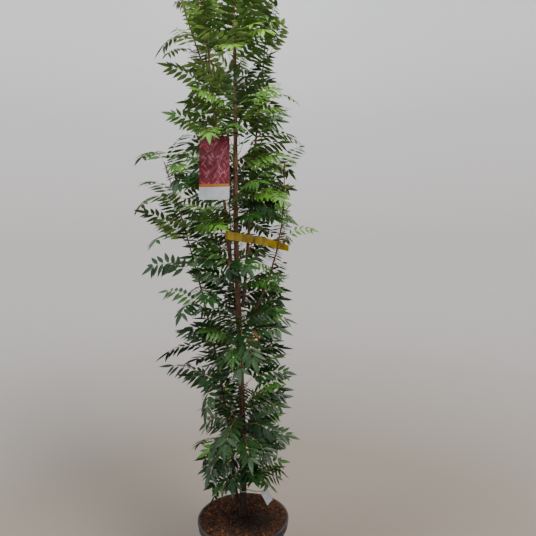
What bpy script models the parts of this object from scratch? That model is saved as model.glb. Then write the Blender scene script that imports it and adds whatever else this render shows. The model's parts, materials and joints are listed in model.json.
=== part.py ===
"""A rowan sapling about 2 m tall, growing in a round dark nursery pot that is full of compost.

The trunk runs from a flat cut on the compost to its tip. Slender boughs leave it and climb beside it.
Each mass of foliage is one spur with its pinnate leaves fused on, 0.3 mm clear of the limb that bears it.
Lengths are in metres and angles in degrees. +Z is up, -Y is the front, and the origin is the middle of
the pot's flat underside. Azimuth 0 is the right side and 90 is the back.
"""

import math
import random

import bmesh
import bpy
from mathutils import Matrix, Vector, geometry
from mathutils.bvhtree import BVHTree
from mathutils.kdtree import KDTree

SEED = 7
CLEARANCE = 0.0003  # between solids that touch on the real plant

# Pot: a tapered wall that steps out into a rim band, so the mouth is as wide as the band
POT_HEIGHT = 0.260
RIM_RADIUS = 0.150
RIM_BAND_HEIGHT = 0.026
RIM_BAND_STEP = 0.010
RIM_LIP = 0.004
FLOOR_RADIUS = 0.114
WALL = 0.0022
FLOOR = 0.004
POT_SEGMENTS = 32
DRAIN_HOLES = 6
DRAIN_RADIUS = 0.008
DRAIN_CIRCLE_RADIUS = 0.088
DRAIN_SIDES = 8
DRAIN_TURN = 0.35  # of the first hole from the right side, as a share of the spacing

# Compost: filled to just under the rim and heaped a little round the trunk
GROUND = 0.264
COMPOST_EDGE_DROP = 0.006
COMPOST_ROUGHNESS = 0.004
COMPOST_RINGS = 5
TRUNK_SEAT_RADIUS = 0.030

# Trunk
TRUNK_RISE = 1.84
TRUNK_FOOT_RADIUS = 0.0105
TRUNK_TAPER = 0.6  # power of the share of height left, so the trunk thins fastest near its tip
TRUNK_TIP_RADIUS = 0.0018
TRUNK_LEAN = -0.006  # sideways run for each metre of rise
TRUNK_WAVE_SIDE = 0.004
TRUNK_WAVE_FRONT = 0.003
ROOT_FLARE = 0.55  # extra radius at the cut, as a share of the foot radius
ROOT_FLARE_RISE = 0.030
TRUNK_POINTS = 15
TRUNK_BEVEL_STEPS = 4

# Each bough: its parent, the height of its foot, its azimuth, the rise of its tip above that, then its radius
# at the foot after lean and bow, which give its run from the parent's axis as lean * rise + bow * rise^2.
BOUGH_KEYS = ("parent", "foot", "azimuth", "rise", "lean", "bow", "radius")
BOUGHS = {
    name: dict(zip(BOUGH_KEYS, values))
    for name, *values in (
        ("bough_long_left", "trunk", 0.050, 188, 1.07, 0.073, 0.107, 0.0048),
        ("bough_left", "trunk", 0.780, 200, 1.00, 0.082, 0.012, 0.0056),
        ("bough_left_fork", "bough_left", 1.400, 172, 0.34, 0.360, -0.100, 0.0032),
        ("bough_right", "trunk", 0.700, 28, 1.00, 0.092, 0.020, 0.0054),
        ("bough_outer_right", "trunk", 0.610, -14, 0.50, 0.575, -0.600, 0.0042),
        ("bough_back", "trunk", 0.440, 104, 0.66, 0.360, -0.140, 0.0044),
    )
}
BOUGH_POINTS = 10
BOUGH_BEVEL_STEPS = 2
BOUGH_WAVE = 0.003
BOUGH_BEND = 1.6  # how far a bough stands off its parent as it turns up, in its own radii
BOUGH_TIP_RADIUS = 0.0014

# Labels: thin cards on straps, and a strip looped round the trunk and both leaders
CARD_THICKNESS = 0.0010
STRAP_THICKNESS = 0.0010
STRAP_WIDTH = 0.0060
STRAP_SEGMENTS = 12
STRAP_HOLE_DROP = 0.004
HANG_TAG = dict(
    limb="bough_left",
    height=1.252,
    top=(-0.067, -0.058, 1.485),
    foot=(-0.070, -0.062, 1.297),
    side=(0.98, -0.16, 0.08),
    width=0.095,
)
POT_LABEL = dict(
    limb="trunk",
    height=0.085,
    top=(0.067, 0.035, 0.331),
    foot=(0.088, 0.068, 0.268),
    side=(0.74, 0.66, 0.08),
    width=0.027,
)
LOOP_LABEL_HEIGHT = 1.182
LOOP_LABEL_SLOPE = -0.19
LOOP_LABEL_WIDTH = 0.026
LOOP_LABEL_ROOM = 0.0025
LOOP_LABEL_LAP = 0.010  # of the tail over the loop
LOOP_LABEL_TAIL = ((0.044, 0.004, 0.008, 6), (0.088, 0.008, 0.020, 22), (0.125, 0.012, 0.031, 44))

# Foliage. On each limb: the height of the first spur above the compost, the spacing, the azimuths that the
# spurs take in turn, then the number of leaves on each, the angle between them and their full length.
SPUR_KEYS = ("first", "spacing", "azimuths", "leaves", "fan", "length")
SPURS = {
    limb: dict(zip(SPUR_KEYS, values))
    for limb, *values in (
        ("trunk", 0.115, 0.115, (266, 84, 250, 100), 3, 80, 0.178),
        ("bough_long_left", 0.215, 0.115, (212, 148), 2, 64, 0.182),
        ("bough_left", 0.950, 0.138, (212, 148), 2, 68, 0.165),
        ("bough_left_fork", 1.500, 0.150, (210, 140), 2, 64, 0.150),
        ("bough_right", 0.900, 0.150, (-32, 34), 2, 64, 0.165),
        ("bough_outer_right", 0.780, 0.110, (-32, 34), 2, 64, 0.130),
        ("bough_back", 0.640, 0.200, (60, 140), 2, 70, 0.165),
    )
}
FOLIAGE_SEED = 1  # of the trunk's spurs; each limb after it in SPURS takes the next
MASS_TRIES = 4  # of which the one that finds room for most leaves is kept
SPUR_SHIFT = 0.18  # of a spur along its limb, as a share of the spacing
SPUR_TURN = 14
SPUR_LENGTH = 0.026
SPUR_RADIUS = 0.0019
SPUR_ELBOW = 0.35  # share of the spur's length before it turns up
LEAF_SEAT = 0.94  # where the first leaf joins the spur's last stretch, and LEAF_SEAT_STEP back for each other
LEAF_SEAT_STEP = 0.2
LOW_RISE = 30  # a leaf's first angle above level at the foot of the tree, and HIGH_RISE at its top
HIGH_RISE = 44
LOW_DROOP = 70  # how far the leaf arches over by its tip
HIGH_DROOP = 56
TIP_FAN = 105
TIP_STEEPER = (8, 30, 14)  # extra rise of the three leaves at the tip of a limb
AZIMUTH_VARIES = 30  # how far a leaf may differ from its rule either way, in degrees
RISE_VARIES = 18
DROOP_VARIES = 20
SWING_VARIES = 18
ROLL_VARIES = 26
SHORTEST = 0.80  # of a leaf's length, as a share of its limb's
LONGEST = 1.08

# Each leaf: a rachis with pairs of leaflets and one at its tip
LEAFLET_PAIRS = 4
LEAFLET_LENGTH = 0.30  # as a share of the leaf's length
LEAFLET_WIDTH = 0.40  # as a share of its own length
LEAFLET_WIDEST = 0.45
LEAFLET_FOLD = 0.16  # how far the margins hang below the midrib, as a share of the width
LEAFLET_SPLAY_FOOT = 68
LEAFLET_SPLAY_TIP = 46
LEAFLET_HANG = 22
LEAFLET_FOOT = 0.0032  # width of a leaflet where it leaves the rachis
END_LEAFLET = 1.15  # size of the one at the tip
BARE_STALK = 0.27  # share of the rachis before the first pair, and LAST_PAIR the share before the last
LAST_PAIR = 0.93
RACHIS_RADIUS = 0.0012
RACHIS_STEPS = 3

# Where leaves may grow. Of its tries that fit, a leaf takes the widest one with most room round it.
LEAF_TRIES = 24
SPREAD_WEIGHT = 1.4
LEAF_ROOM = 0.0006  # kept between a leaf and everything else
SPACE_BEHIND = 0.5  # how far behind its spur a leaf may reach, as a share of the mass's reach
EYE = (0.091, -1.567, 1.184)  # where the tree's outline is judged from

# The outline seen from there: how far the leaves reach to the left and right of the pot's axis at each height
# above the compost. Tiers of long leaves stand out between shorter ones.
OUTLINE = (
    (0.00, 0.125, 0.160),
    (0.09, 0.120, 0.160),
    (0.20, 0.165, 0.160),
    (0.26, 0.150, 0.185),
    (0.33, 0.160, 0.125),
    (0.40, 0.150, 0.180),
    (0.46, 0.230, 0.178),
    (0.53, 0.300, 0.160),
    (0.57, 0.260, 0.235),
    (0.63, 0.240, 0.240),
    (0.70, 0.185, 0.195),
    (0.76, 0.330, 0.155),
    (0.86, 0.315, 0.170),
    (0.93, 0.280, 0.260),
    (1.00, 0.365, 0.160),
    (1.05, 0.260, 0.225),
    (1.11, 0.350, 0.235),
    (1.17, 0.357, 0.200),
    (1.21, 0.280, 0.230),
    (1.28, 0.225, 0.170),
    (1.34, 0.235, 0.195),
    (1.42, 0.190, 0.120),
    (1.47, 0.280, 0.130),
    (1.51, 0.275, 0.158),
    (1.61, 0.180, 0.145),
    (1.75, 0.190, 0.150),
    (2.10, 0.130, 0.110),
)
OUTLINE_SLACK = 0.018


def fresh_scene():
    for obj in list(bpy.data.objects):
        bpy.data.objects.remove(obj, do_unlink=True)


def material(name, colour, roughness):
    made = bpy.data.materials.new(name)
    made.use_nodes = True
    shader = made.node_tree.nodes["Principled BSDF"]
    shader.inputs["Base Color"].default_value = (*colour, 1.0)
    shader.inputs["Roughness"].default_value = roughness
    shader.inputs["Metallic"].default_value = 0.0
    return made


def add_object(name, data, finish):
    obj = bpy.data.objects.new(name, data)
    bpy.context.scene.collection.objects.link(obj)
    data.materials.append(finish)
    return obj


def mesh_from(name, vertices, faces):
    mesh = bpy.data.meshes.new(name)
    mesh.from_pydata([tuple(v) for v in vertices], [], faces)
    return mesh


def evaluated_mesh(obj):
    """A mesh copy of the object with its modifiers or its bevel applied."""
    graph = bpy.context.evaluated_depsgraph_get()
    return bpy.data.meshes.new_from_object(obj.evaluated_get(graph), depsgraph=graph)


def tree_of(mesh, margin):
    points = [v.co for v in mesh.vertices]
    return BVHTree.FromPolygons(points, [tuple(p.vertices) for p in mesh.polygons], epsilon=margin)


def ring_point(radius, turn, height):
    return Vector((radius * math.cos(turn), radius * math.sin(turn), height))


def heading(azimuth, rise):
    a, e = math.radians(azimuth), math.radians(rise)
    return Vector((math.cos(e) * math.cos(a), math.cos(e) * math.sin(a), math.sin(e)))


def fused(name, shells, finish):
    """One solid from closed shells that run into each other. Loose scraps and sealed hollows are dropped."""
    parts = bpy.data.collections.new("parts")
    bpy.context.scene.collection.children.link(parts)
    for vertices, faces in shells[1:]:
        parts.objects.link(bpy.data.objects.new("piece", mesh_from("piece", vertices, faces)))
    mass = add_object(name, mesh_from(name, *shells[0]), finish)
    join = mass.modifiers.new("join", "BOOLEAN")
    join.operation = "UNION"
    join.operand_type = "COLLECTION"
    join.collection = parts
    join.solver = "EXACT"
    mass.data = evaluated_mesh(mass)
    mass.modifiers.clear()
    for obj in list(parts.objects):
        bpy.data.objects.remove(obj)
    bpy.data.collections.remove(parts)
    mass.data.name = name
    keep_largest_piece(mass.data)
    return mass


def keep_largest_piece(mesh):
    shape = bmesh.new()
    shape.from_mesh(mesh)
    bmesh.ops.triangulate(shape, faces=shape.faces)
    left, pieces = set(shape.verts), []
    while left:
        piece, rim = set(), [left.pop()]
        while rim:
            vertex = rim.pop()
            piece.add(vertex)
            near = [e.other_vert(vertex) for e in vertex.link_edges]
            rim += [v for v in near if v in left]
            left.difference_update(near)
        pieces.append(piece)
    pieces.sort(key=len)
    for piece in pieces[:-1]:
        bmesh.ops.delete(shape, geom=list(piece), context="VERTS")
    shape.to_mesh(mesh)
    shape.free()


# ---- Pot and compost -----------------------------------------------------------------------------


def wall_radius(height):
    """Outer radius of the pot's tapered wall under the rim band."""
    return FLOOR_RADIUS + (RIM_RADIUS - RIM_BAND_STEP - FLOOR_RADIUS) * height / POT_HEIGHT


def mouth_radius():
    """Inner radius of the rim band."""
    return RIM_RADIUS - RIM_LIP - WALL


def lathe(name, profile, segments, finish):
    """Turns a profile of (radius, height) points, which starts and ends on the axis, about Z."""
    shape = bmesh.new()
    points = [shape.verts.new((radius, 0.0, height)) for radius, height in profile]
    edges = [shape.edges.new(pair) for pair in zip(points, points[1:])]
    bmesh.ops.spin(
        shape,
        geom=points + edges,
        cent=(0, 0, 0),
        axis=(0, 0, 1),
        angle=math.tau,
        steps=segments,
        use_merge=True,
    )
    bmesh.ops.remove_doubles(shape, verts=shape.verts, dist=1e-5)
    bmesh.ops.recalc_face_normals(shape, faces=shape.faces)
    mesh = bpy.data.meshes.new(name)
    shape.to_mesh(mesh)
    shape.free()
    return add_object(name, mesh, finish)


def make_pot(finish):
    band_foot = POT_HEIGHT - RIM_BAND_HEIGHT
    profile = [
        (0.0, 0.0),
        (FLOOR_RADIUS - RIM_LIP, 0.0),
        (FLOOR_RADIUS, RIM_LIP),
        (wall_radius(band_foot), band_foot),
        (RIM_RADIUS - RIM_LIP, band_foot),
        (RIM_RADIUS - RIM_LIP, POT_HEIGHT - RIM_LIP),
        (RIM_RADIUS, POT_HEIGHT - RIM_LIP),
        (RIM_RADIUS, POT_HEIGHT - RIM_LIP / 4),
        (RIM_RADIUS - RIM_LIP / 4, POT_HEIGHT),
        (mouth_radius(), POT_HEIGHT),
        (mouth_radius(), band_foot + WALL),
        (wall_radius(band_foot + WALL) - WALL, band_foot + WALL),
        (wall_radius(FLOOR) - WALL, FLOOR),
        (0.0, FLOOR),
    ]
    pot = lathe("pot", profile, POT_SEGMENTS, finish)
    for i in range(DRAIN_HOLES):
        turn = math.tau * (i + DRAIN_TURN) / DRAIN_HOLES
        at = ring_point(DRAIN_CIRCLE_RADIUS, turn, FLOOR / 2)
        bpy.ops.mesh.primitive_cylinder_add(
            vertices=DRAIN_SIDES, radius=DRAIN_RADIUS, depth=4 * FLOOR, location=at, rotation=(0, 0, turn)
        )
        cutter = bpy.context.object
        drain = pot.modifiers.new("drain", "BOOLEAN")
        drain.object = cutter
        drain.solver = "EXACT"
        pot.data = evaluated_mesh(pot)
        pot.modifiers.clear()
        bpy.data.objects.remove(cutter)
    return pot


def make_compost(finish):
    """Fills the pot. The top is rough and slopes to the rim from a flat seat under the trunk."""
    chance = random.Random(SEED)
    floor = FLOOR + CLEARANCE
    ledge = POT_HEIGHT - RIM_BAND_HEIGHT + WALL + CLEARANCE
    edge_height = GROUND - COMPOST_EDGE_DROP
    edge_radius = mouth_radius() - CLEARANCE
    profile = [
        (0.0, floor),
        (wall_radius(floor) - WALL - CLEARANCE, floor),
        (wall_radius(ledge) - WALL - CLEARANCE, ledge),
        (edge_radius, ledge),
    ]
    for i in range(COMPOST_RINGS + 1):
        share = i / COMPOST_RINGS
        radius = edge_radius + (TRUNK_SEAT_RADIUS - edge_radius) * share
        rise = COMPOST_EDGE_DROP * math.sin(share * math.pi / 2)
        profile.append((radius, edge_height + rise - CLEARANCE))
    profile.append((0.0, GROUND - CLEARANCE))
    compost = lathe("compost", profile, POT_SEGMENTS, finish)
    for vertex in compost.data.vertices:
        radius = vertex.co.xy.length
        on_slope = TRUNK_SEAT_RADIUS + CLEARANCE < radius < edge_radius - CLEARANCE
        if on_slope and vertex.co.z > ledge + CLEARANCE:
            vertex.co.z += chance.uniform(-COMPOST_ROUGHNESS, 0.0)
    return compost


# ---- Limbs ---------------------------------------------------------------------------------------


def trunk_axis(rise):
    """Where the trunk's axis is at a height above the compost: a slight lean with a slow wave in it."""
    side = TRUNK_LEAN * rise + TRUNK_WAVE_SIDE * math.sin(rise * 5.2)
    front = TRUNK_WAVE_FRONT * (math.sin(rise * 3.7 + 1.0) - math.sin(1.0))
    return Vector((side, front, GROUND + rise))


def trunk_radius(rise):
    share = min(1.0, rise / TRUNK_RISE)
    flare = ROOT_FLARE * math.exp(-rise / ROOT_FLARE_RISE)
    return TRUNK_FOOT_RADIUS * ((1 - share) ** TRUNK_TAPER + flare) + TRUNK_TIP_RADIUS * share


def limb_radius(name, rise):
    if name == "trunk":
        return trunk_radius(rise)
    bough = BOUGHS[name]
    share = min(1.0, max(0.0, (rise - bough["foot"]) / bough["rise"]))
    return bough["radius"] + (BOUGH_TIP_RADIUS - bough["radius"]) * share


def limb_axis(name, rise):
    """Where a limb's axis is at a height above the compost."""
    if name == "trunk":
        return trunk_axis(rise)
    bough = BOUGHS[name]
    climbed = rise - bough["foot"]
    run = bough_collar(name) + bough["lean"] * climbed + bough["bow"] * climbed**2
    wave = BOUGH_WAVE * math.sin(climbed * 11 + bough["azimuth"])
    side = heading(bough["azimuth"] + 90, 0) * wave
    base = limb_axis(bough["parent"], bough["foot"])
    return base + heading(bough["azimuth"], 0) * run + side + Vector((0, 0, climbed))


def bough_collar(name):
    """How far a bough's axis stands off its parent's axis just above its foot."""
    bough = BOUGHS[name]
    return limb_radius(bough["parent"], bough["foot"]) + BOUGH_BEND * bough["radius"] + CLEARANCE


def seat_on(name, rise):
    """Place, direction and radius of the tube's straight stretch at a height above the compost."""
    path = limb_path(name)
    height = GROUND + rise
    last = next((i for i, (place, _) in enumerate(path) if place.z > height), len(path) - 1)
    (low, low_radius), (high, high_radius) = path[last - 1], path[last]
    share = (height - low.z) / (high.z - low.z)
    return low.lerp(high, share), (high - low).normalized(), low_radius + (high_radius - low_radius) * share


def limb_path(name):
    """Axis points with their radii. A bough starts square to its parent, clear of its bark, and turns up."""
    if name == "trunk":
        heights = [TRUNK_RISE * (i / (TRUNK_POINTS - 1)) ** 1.25 for i in range(TRUNK_POINTS)]
        return [(trunk_axis(h), trunk_radius(h)) for h in heights]
    bough = BOUGHS[name]
    foot, radius = bough["foot"], bough["radius"]
    place, along, parent_radius = seat_on(bough["parent"], foot)
    out = heading(bough["azimuth"], 0)
    out = (out - along * out.dot(along)).normalized()
    start = place + out * (parent_radius + CLEARANCE)
    path = [(start, radius * 1.25), (start + out * radius * 1.1, radius * 1.2)]
    for i in range(BOUGH_POINTS - 2):
        climbed = 2.4 * radius + (bough["rise"] - 2.4 * radius) * (i / (BOUGH_POINTS - 3)) ** 1.15
        path.append((limb_axis(name, foot + climbed), limb_radius(name, foot + climbed)))
    return path


def make_limb(name, finish):
    """A tapered tube: a curve with a round bevel and filled ends."""
    path = limb_path(name)
    curve = bpy.data.curves.new(name, "CURVE")
    curve.dimensions = "3D"
    curve.bevel_depth = path[0][1]
    curve.bevel_resolution = TRUNK_BEVEL_STEPS if name == "trunk" else BOUGH_BEVEL_STEPS
    curve.use_fill_caps = True
    spline = curve.splines.new("POLY")
    spline.points.add(len(path) - 1)
    for point, (place, radius) in zip(spline.points, path):
        point.co = (*place, 1.0)
        point.radius = radius / curve.bevel_depth
    return add_object(name, curve, finish)


# ---- Labels --------------------------------------------------------------------------------------


def band_shell(path, thickness, closed=False):
    """A thin strip along (point, up, width) stations, or a plate where the stations are its two ends."""
    vertices, faces = [], []
    for i, (place, up, width) in enumerate(path):
        ahead = path[(i + 1) % len(path) if closed else min(i + 1, len(path) - 1)][0]
        behind = path[i - 1 if closed else max(i - 1, 0)][0]
        through = (ahead - behind).cross(up).normalized() * (thickness / 2)
        rise = up.normalized() * (width / 2)
        front, back = place + through, place - through
        vertices += [front - rise, front + rise, back + rise, back - rise]
    for i in range(len(path) - (not closed)):
        a, b = 4 * i, 4 * ((i + 1) % len(path))
        faces += [(a + k, a + (k + 1) % 4, b + (k + 1) % 4, b + k) for k in range(4)]
    if not closed:
        last = len(vertices) - 4
        faces += [(3, 2, 1, 0), (last, last + 1, last + 2, last + 3)]
    return outward(vertices, faces)


def outward(vertices, faces):
    """The same shell with every face turned outward."""
    volume = 0.0
    for face in faces:
        for k in range(1, len(face) - 1):
            a, b, c = (vertices[face[j]] - vertices[0] for j in (0, k, k + 1))
            volume += a.cross(b).dot(c)
    return vertices, faces if volume > 0 else [face[::-1] for face in faces]


def ring_round(limb, height):
    """A strap's loop round a limb, clear of its bark."""
    place, along, radius = seat_on(limb, height)
    side = along.cross(Vector((0, 1, 0))).normalized()
    radius += CLEARANCE + STRAP_THICKNESS
    path = []
    for i in range(STRAP_SEGMENTS):
        turn = Matrix.Rotation(math.tau * i / STRAP_SEGMENTS, 3, along)
        path.append((place + turn @ side * radius, along, STRAP_WIDTH))
    return band_shell(path, STRAP_THICKNESS, closed=True), radius


def strapped_label(name, plan, finish):
    """A bare card between its top and its foot, on a strap that loops round a limb."""
    limb, height = plan["limb"], plan["height"]
    ring, radius = ring_round(limb, height)
    top, foot, side = Vector(plan["top"]), Vector(plan["foot"]), Vector(plan["side"]).normalized()
    axis, along, _ = seat_on(limb, height)
    out = top - axis
    start = axis + (out - along * out.dot(along)).normalized() * radius
    hole = top.lerp(foot, STRAP_HOLE_DROP / (top - foot).length)
    strap = band_shell([(start, along, STRAP_WIDTH), (hole, side, STRAP_WIDTH)], STRAP_THICKNESS)
    ends = [top.lerp(foot, 0.5) + side * (hand * plan["width"] / 2) for hand in (-1, 1)]
    card = band_shell([(end, top - foot, (top - foot).length) for end in ends], CARD_THICKNESS)
    return fused(name, [card, strap, ring], finish)


def loop_height(x):
    return LOOP_LABEL_HEIGHT + LOOP_LABEL_SLOPE * x


def loop_label(finish):
    """A strip that loops round the trunk and the two leaders, with its tail hanging out to the right."""
    hoops = []
    for limb in ("bough_left", "trunk", "bough_right"):
        place, _, radius = seat_on(limb, LOOP_LABEL_HEIGHT - GROUND)
        clear = (radius + LOOP_LABEL_ROOM) / math.cos(math.pi / STRAP_SEGMENTS)
        for i in range(STRAP_SEGMENTS):
            hoops.append(place.xy + ring_point(clear, math.tau * i / STRAP_SEGMENTS, 0).xy)
    hull = [hoops[i] for i in geometry.convex_hull_2d(hoops)]
    up = Vector((0, 0, 1))
    path = [(Vector((point.x, point.y, loop_height(point.x))), up, LOOP_LABEL_WIDTH) for point in hull]
    loop = band_shell(path, CARD_THICKNESS, closed=True)
    start = max(hull, key=lambda point: point.x - point.y)
    lap = start.x - LOOP_LABEL_LAP
    tail = [(Vector((lap, start.y, loop_height(lap))), up, LOOP_LABEL_WIDTH)]
    for out, forward, drop, twist in LOOP_LABEL_TAIL:
        place = Vector((start.x + out, start.y - forward, loop_height(start.x) - drop))
        tail.append((place, Matrix.Rotation(math.radians(twist), 3, "X") @ up, LOOP_LABEL_WIDTH))
    return fused("loop_label", [loop, band_shell(tail, CARD_THICKNESS)], finish)


# ---- Leaves --------------------------------------------------------------------------------------


def twig_shell(path, roll=0.0):
    """Vertices and faces of a three-sided twig along (point, radius) pairs, with a flat side on top."""
    sides = 3
    vertices, faces = [], []
    for i, (place, radius) in enumerate(path):
        ahead = path[min(i + 1, len(path) - 1)][0]
        behind = path[max(i - 1, 0)][0]
        along = (ahead - behind).normalized()
        side = across(along, roll)
        up = side.cross(along)
        for k in range(sides):
            turn = math.tau * k / sides - math.pi / 2
            vertices.append(place + side * (radius * math.cos(turn)) + up * (radius * math.sin(turn)))
        if i:
            a, b = (i - 1) * sides, i * sides
            faces += [(a + k, a + (k + 1) % sides, b + (k + 1) % sides, b + k) for k in range(sides)]
    faces.append(tuple(range(sides))[::-1])
    last = (len(path) - 1) * sides
    faces.append(tuple(last + k for k in range(sides)))
    return outward(vertices, faces)


def across(along, roll):
    """The level direction square to a twig or leaf, turned about it by the roll."""
    level = along.cross(Vector((0, 0, 1)))
    if level.length < 0.05:
        level = Vector((1, 0, 0))
    return Matrix.Rotation(math.radians(roll), 3, along) @ level.normalized()


def rachis_points(leaf):
    """The midline of a leaf, which sets off at its rise and arches over under its own weight."""
    place = leaf["start"].copy()
    points = [place.copy()]
    step = leaf["length"] * (1 - 0.5 * LEAFLET_LENGTH) / RACHIS_STEPS
    for i in range(RACHIS_STEPS):
        share = (i + 0.5) / RACHIS_STEPS
        rise = leaf["rise"] - leaf["droop"] * share**1.2
        place += heading(leaf["azimuth"] + leaf["swing"] * share, rise) * step
        points.append(place.copy())
    return points


def point_on(points, share):
    """Place and direction at a share of the way along evenly spaced points."""
    steps = len(points) - 1
    at = min(share * steps, steps - 1e-6)
    i = int(at)
    return points[i].lerp(points[i + 1], at - i), (points[i + 1] - points[i]).normalized()


def leaf_shell(leaf):
    """A pinnate leaf as one closed shell: a three-sided rachis, a folded blade drawn out for each leaflet.

    Each ring has a point on the left, one on the right and one underneath. A pair stands between two rings.
    """
    points = rachis_points(leaf)
    half_foot = 0.5 * LEAFLET_FOOT / leaf["length"]
    pairs = [i / (LEAFLET_PAIRS - 1) for i in range(LEAFLET_PAIRS)]
    centres = [BARE_STALK + (LAST_PAIR - BARE_STALK) * share for share in pairs]
    stations = [0.0, *(centre + side * half_foot for centre in centres for side in (-1, 1))]
    vertices, faces, frames = [], [(0, 2, 1)], []
    for ring, share in enumerate(stations):
        place, along = point_on(points, share)
        level = across(along, leaf["roll"])
        up = level.cross(along)
        frames.append((place, along, level, up))
        radius = RACHIS_RADIUS * (1.25 - 0.6 * share)
        for turn in (150, 30, 270):
            turn = math.radians(turn)
            vertices.append(place + level * (radius * math.cos(turn)) + up * (radius * math.sin(turn)))
        a, b = 3 * ring - 3, 3 * ring
        if ring:
            faces.append((a, a + 1, b + 1, b))
        if ring % 2:
            faces += [(a, b, b + 2, a + 2), (a + 1, a + 2, b + 2, b + 1)]

    def add_blade(base, direction, up, size):
        """Adds the margin points on each side of a leaflet and its tip."""
        length = LEAFLET_LENGTH * leaf["length"] * size
        width = LEAFLET_WIDTH * length
        side = direction.cross(up).normalized()
        middle = base + direction * (LEAFLET_WIDEST * length) - side.cross(direction) * (LEAFLET_FOLD * width)
        vertices.extend([middle - side * (width / 2), middle + side * (width / 2), base + direction * length])
        return range(len(vertices) - 3, len(vertices))

    for pair, share in enumerate(pairs):
        rear, front = 6 * pair + 3, 6 * pair + 6
        place, along, level, up = frames[2 * pair + 2]
        splay = math.radians(LEAFLET_SPLAY_FOOT + (LEAFLET_SPLAY_TIP - LEAFLET_SPLAY_FOOT) * share)
        size = 0.76 + 0.24 * math.sin(math.pi * (0.15 + 0.75 * share))
        for hand, top in ((-1, 0), (1, 1)):
            direction = along * math.cos(splay) + level * (hand * math.sin(splay))
            direction = (direction - up * math.tan(math.radians(LEAFLET_HANG))).normalized()
            left, right, tip = add_blade(place, direction, up, size)
            ahead, behind = (left, right) if hand > 0 else (right, left)
            blade = [
                (rear + top, front + top, tip),
                (front + top, ahead, tip),
                (rear + top, tip, behind),
                (rear + 2, behind, ahead),
                (rear + 2, ahead, front + 2),
                (behind, tip, ahead),
                (rear + top, behind, rear + 2),
                (front + top, front + 2, ahead),
            ]
            faces += blade if hand < 0 else [face[::-1] for face in blade]
    left, right, tip = add_blade(place, along, up, END_LEAFLET)
    faces += [
        (front, front + 1, tip),
        (front, tip, left),
        (front + 1, right, tip),
        (front, left, front + 2),
        (front + 1, front + 2, right),
        (front + 2, left, right),
        (left, tip, right),
    ]
    return vertices, faces


# ---- Masses of foliage ---------------------------------------------------------------------------


def touches(shell, obstacles, margin):
    tree = BVHTree.FromPolygons(shell[0], shell[1], epsilon=margin)
    return any(tree.overlap(other) for other in obstacles)


def in_own_space(shell, centre, out, reach):
    """Whether a leaf stays in the dome of space in front of its spur."""
    offsets = [vertex - centre for vertex in shell[0]]
    return all(offset.length < reach and offset.dot(out) > -SPACE_BEHIND * reach for offset in offsets)


def spur_path(limb, height, azimuth):
    """A short spur that starts square to its limb, just clear of the bark, and turns upward."""
    place, along, radius = seat_on(limb, height)
    out = heading(azimuth, 0)
    out = (out - along * out.dot(along)).normalized()
    start = place + out * (radius + CLEARANCE)
    elbow = start + out * (SPUR_ELBOW * SPUR_LENGTH)
    end = elbow + (out + along * 1.1).normalized() * ((1 - SPUR_ELBOW) * SPUR_LENGTH)
    return [(start, SPUR_RADIUS), (elbow, SPUR_RADIUS * 0.95), (end, SPUR_RADIUS * 0.7)], out


def tip_path(limb, height):
    """The spur that carries on from a limb's tip."""
    place, along, _ = seat_on(limb, height)
    start = place + along * CLEARANCE
    return [(start, SPUR_RADIUS * 0.8), (start + along * SPUR_LENGTH, SPUR_RADIUS * 0.6)], along


def leaf_of(plan, start, azimuth, height, steeper, chance):
    """One leaf as the rule gives it. The leaves rise less and droop more the lower they grow."""
    lift = min(1.0, height / TRUNK_RISE)
    return dict(
        start=start,
        azimuth=azimuth + chance.uniform(-AZIMUTH_VARIES, AZIMUTH_VARIES),
        rise=LOW_RISE + (HIGH_RISE - LOW_RISE) * lift + steeper + chance.uniform(-RISE_VARIES, RISE_VARIES),
        droop=LOW_DROOP + (HIGH_DROOP - LOW_DROOP) * lift + chance.uniform(-DROOP_VARIES, DROOP_VARIES),
        swing=chance.uniform(-SWING_VARIES, SWING_VARIES),
        roll=chance.uniform(-ROLL_VARIES, ROLL_VARIES),
        length=plan["length"] * chance.uniform(SHORTEST, LONGEST),
    )


def seen_at(point):
    """Where a point shows in the plane of the trunk, looking from the eye: (sideways, height)."""
    nearer = EYE[1] / (EYE[1] - point.y)
    return EYE[0] + (point.x - EYE[0]) * nearer, EYE[2] + (point.z - EYE[2]) * nearer


def in_outline(shell):
    for point in shell[0]:
        x, z = seen_at(point)
        height = z - GROUND
        above = next((i for i, row in enumerate(OUTLINE) if row[0] > height), len(OUTLINE) - 1)
        low, high = OUTLINE[max(above - 1, 0)], OUTLINE[above]
        share = min(1.0, max(0.0, (height - low[0]) / (high[0] - low[0]))) if above else 0.0
        side = 1 if x < 0 else 2
        if abs(x) > low[side] + (high[side] - low[side]) * share + OUTLINE_SLACK:
            return False
    return True


def blade_tips(shell):
    """The tips of a leaf's leaflets: the last of each blade's three vertices."""
    return shell[0][6 * LEAFLET_PAIRS + 3 :][2::3]


def room_round(shell, tips):
    """How far a leaf's tips show from those already grown, on average, as seen from the eye."""
    if not tips:
        return 1.0
    tree = KDTree(len(tips))
    for i, (x, z) in enumerate(tips):
        tree.insert((x, z, 0.0), i)
    tree.balance()
    own = [seen_at(tip) for tip in blade_tips(shell)]
    mid = [sum(tip[k] for tip in own) / len(own) for k in (0, 1)]
    spread = sum(math.hypot(x - mid[0], z - mid[1]) for x, z in own) / len(own)
    return sum(tree.find((x, z, 0.0))[2] for x, z in own) / len(own) + SPREAD_WEIGHT * spread


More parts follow.
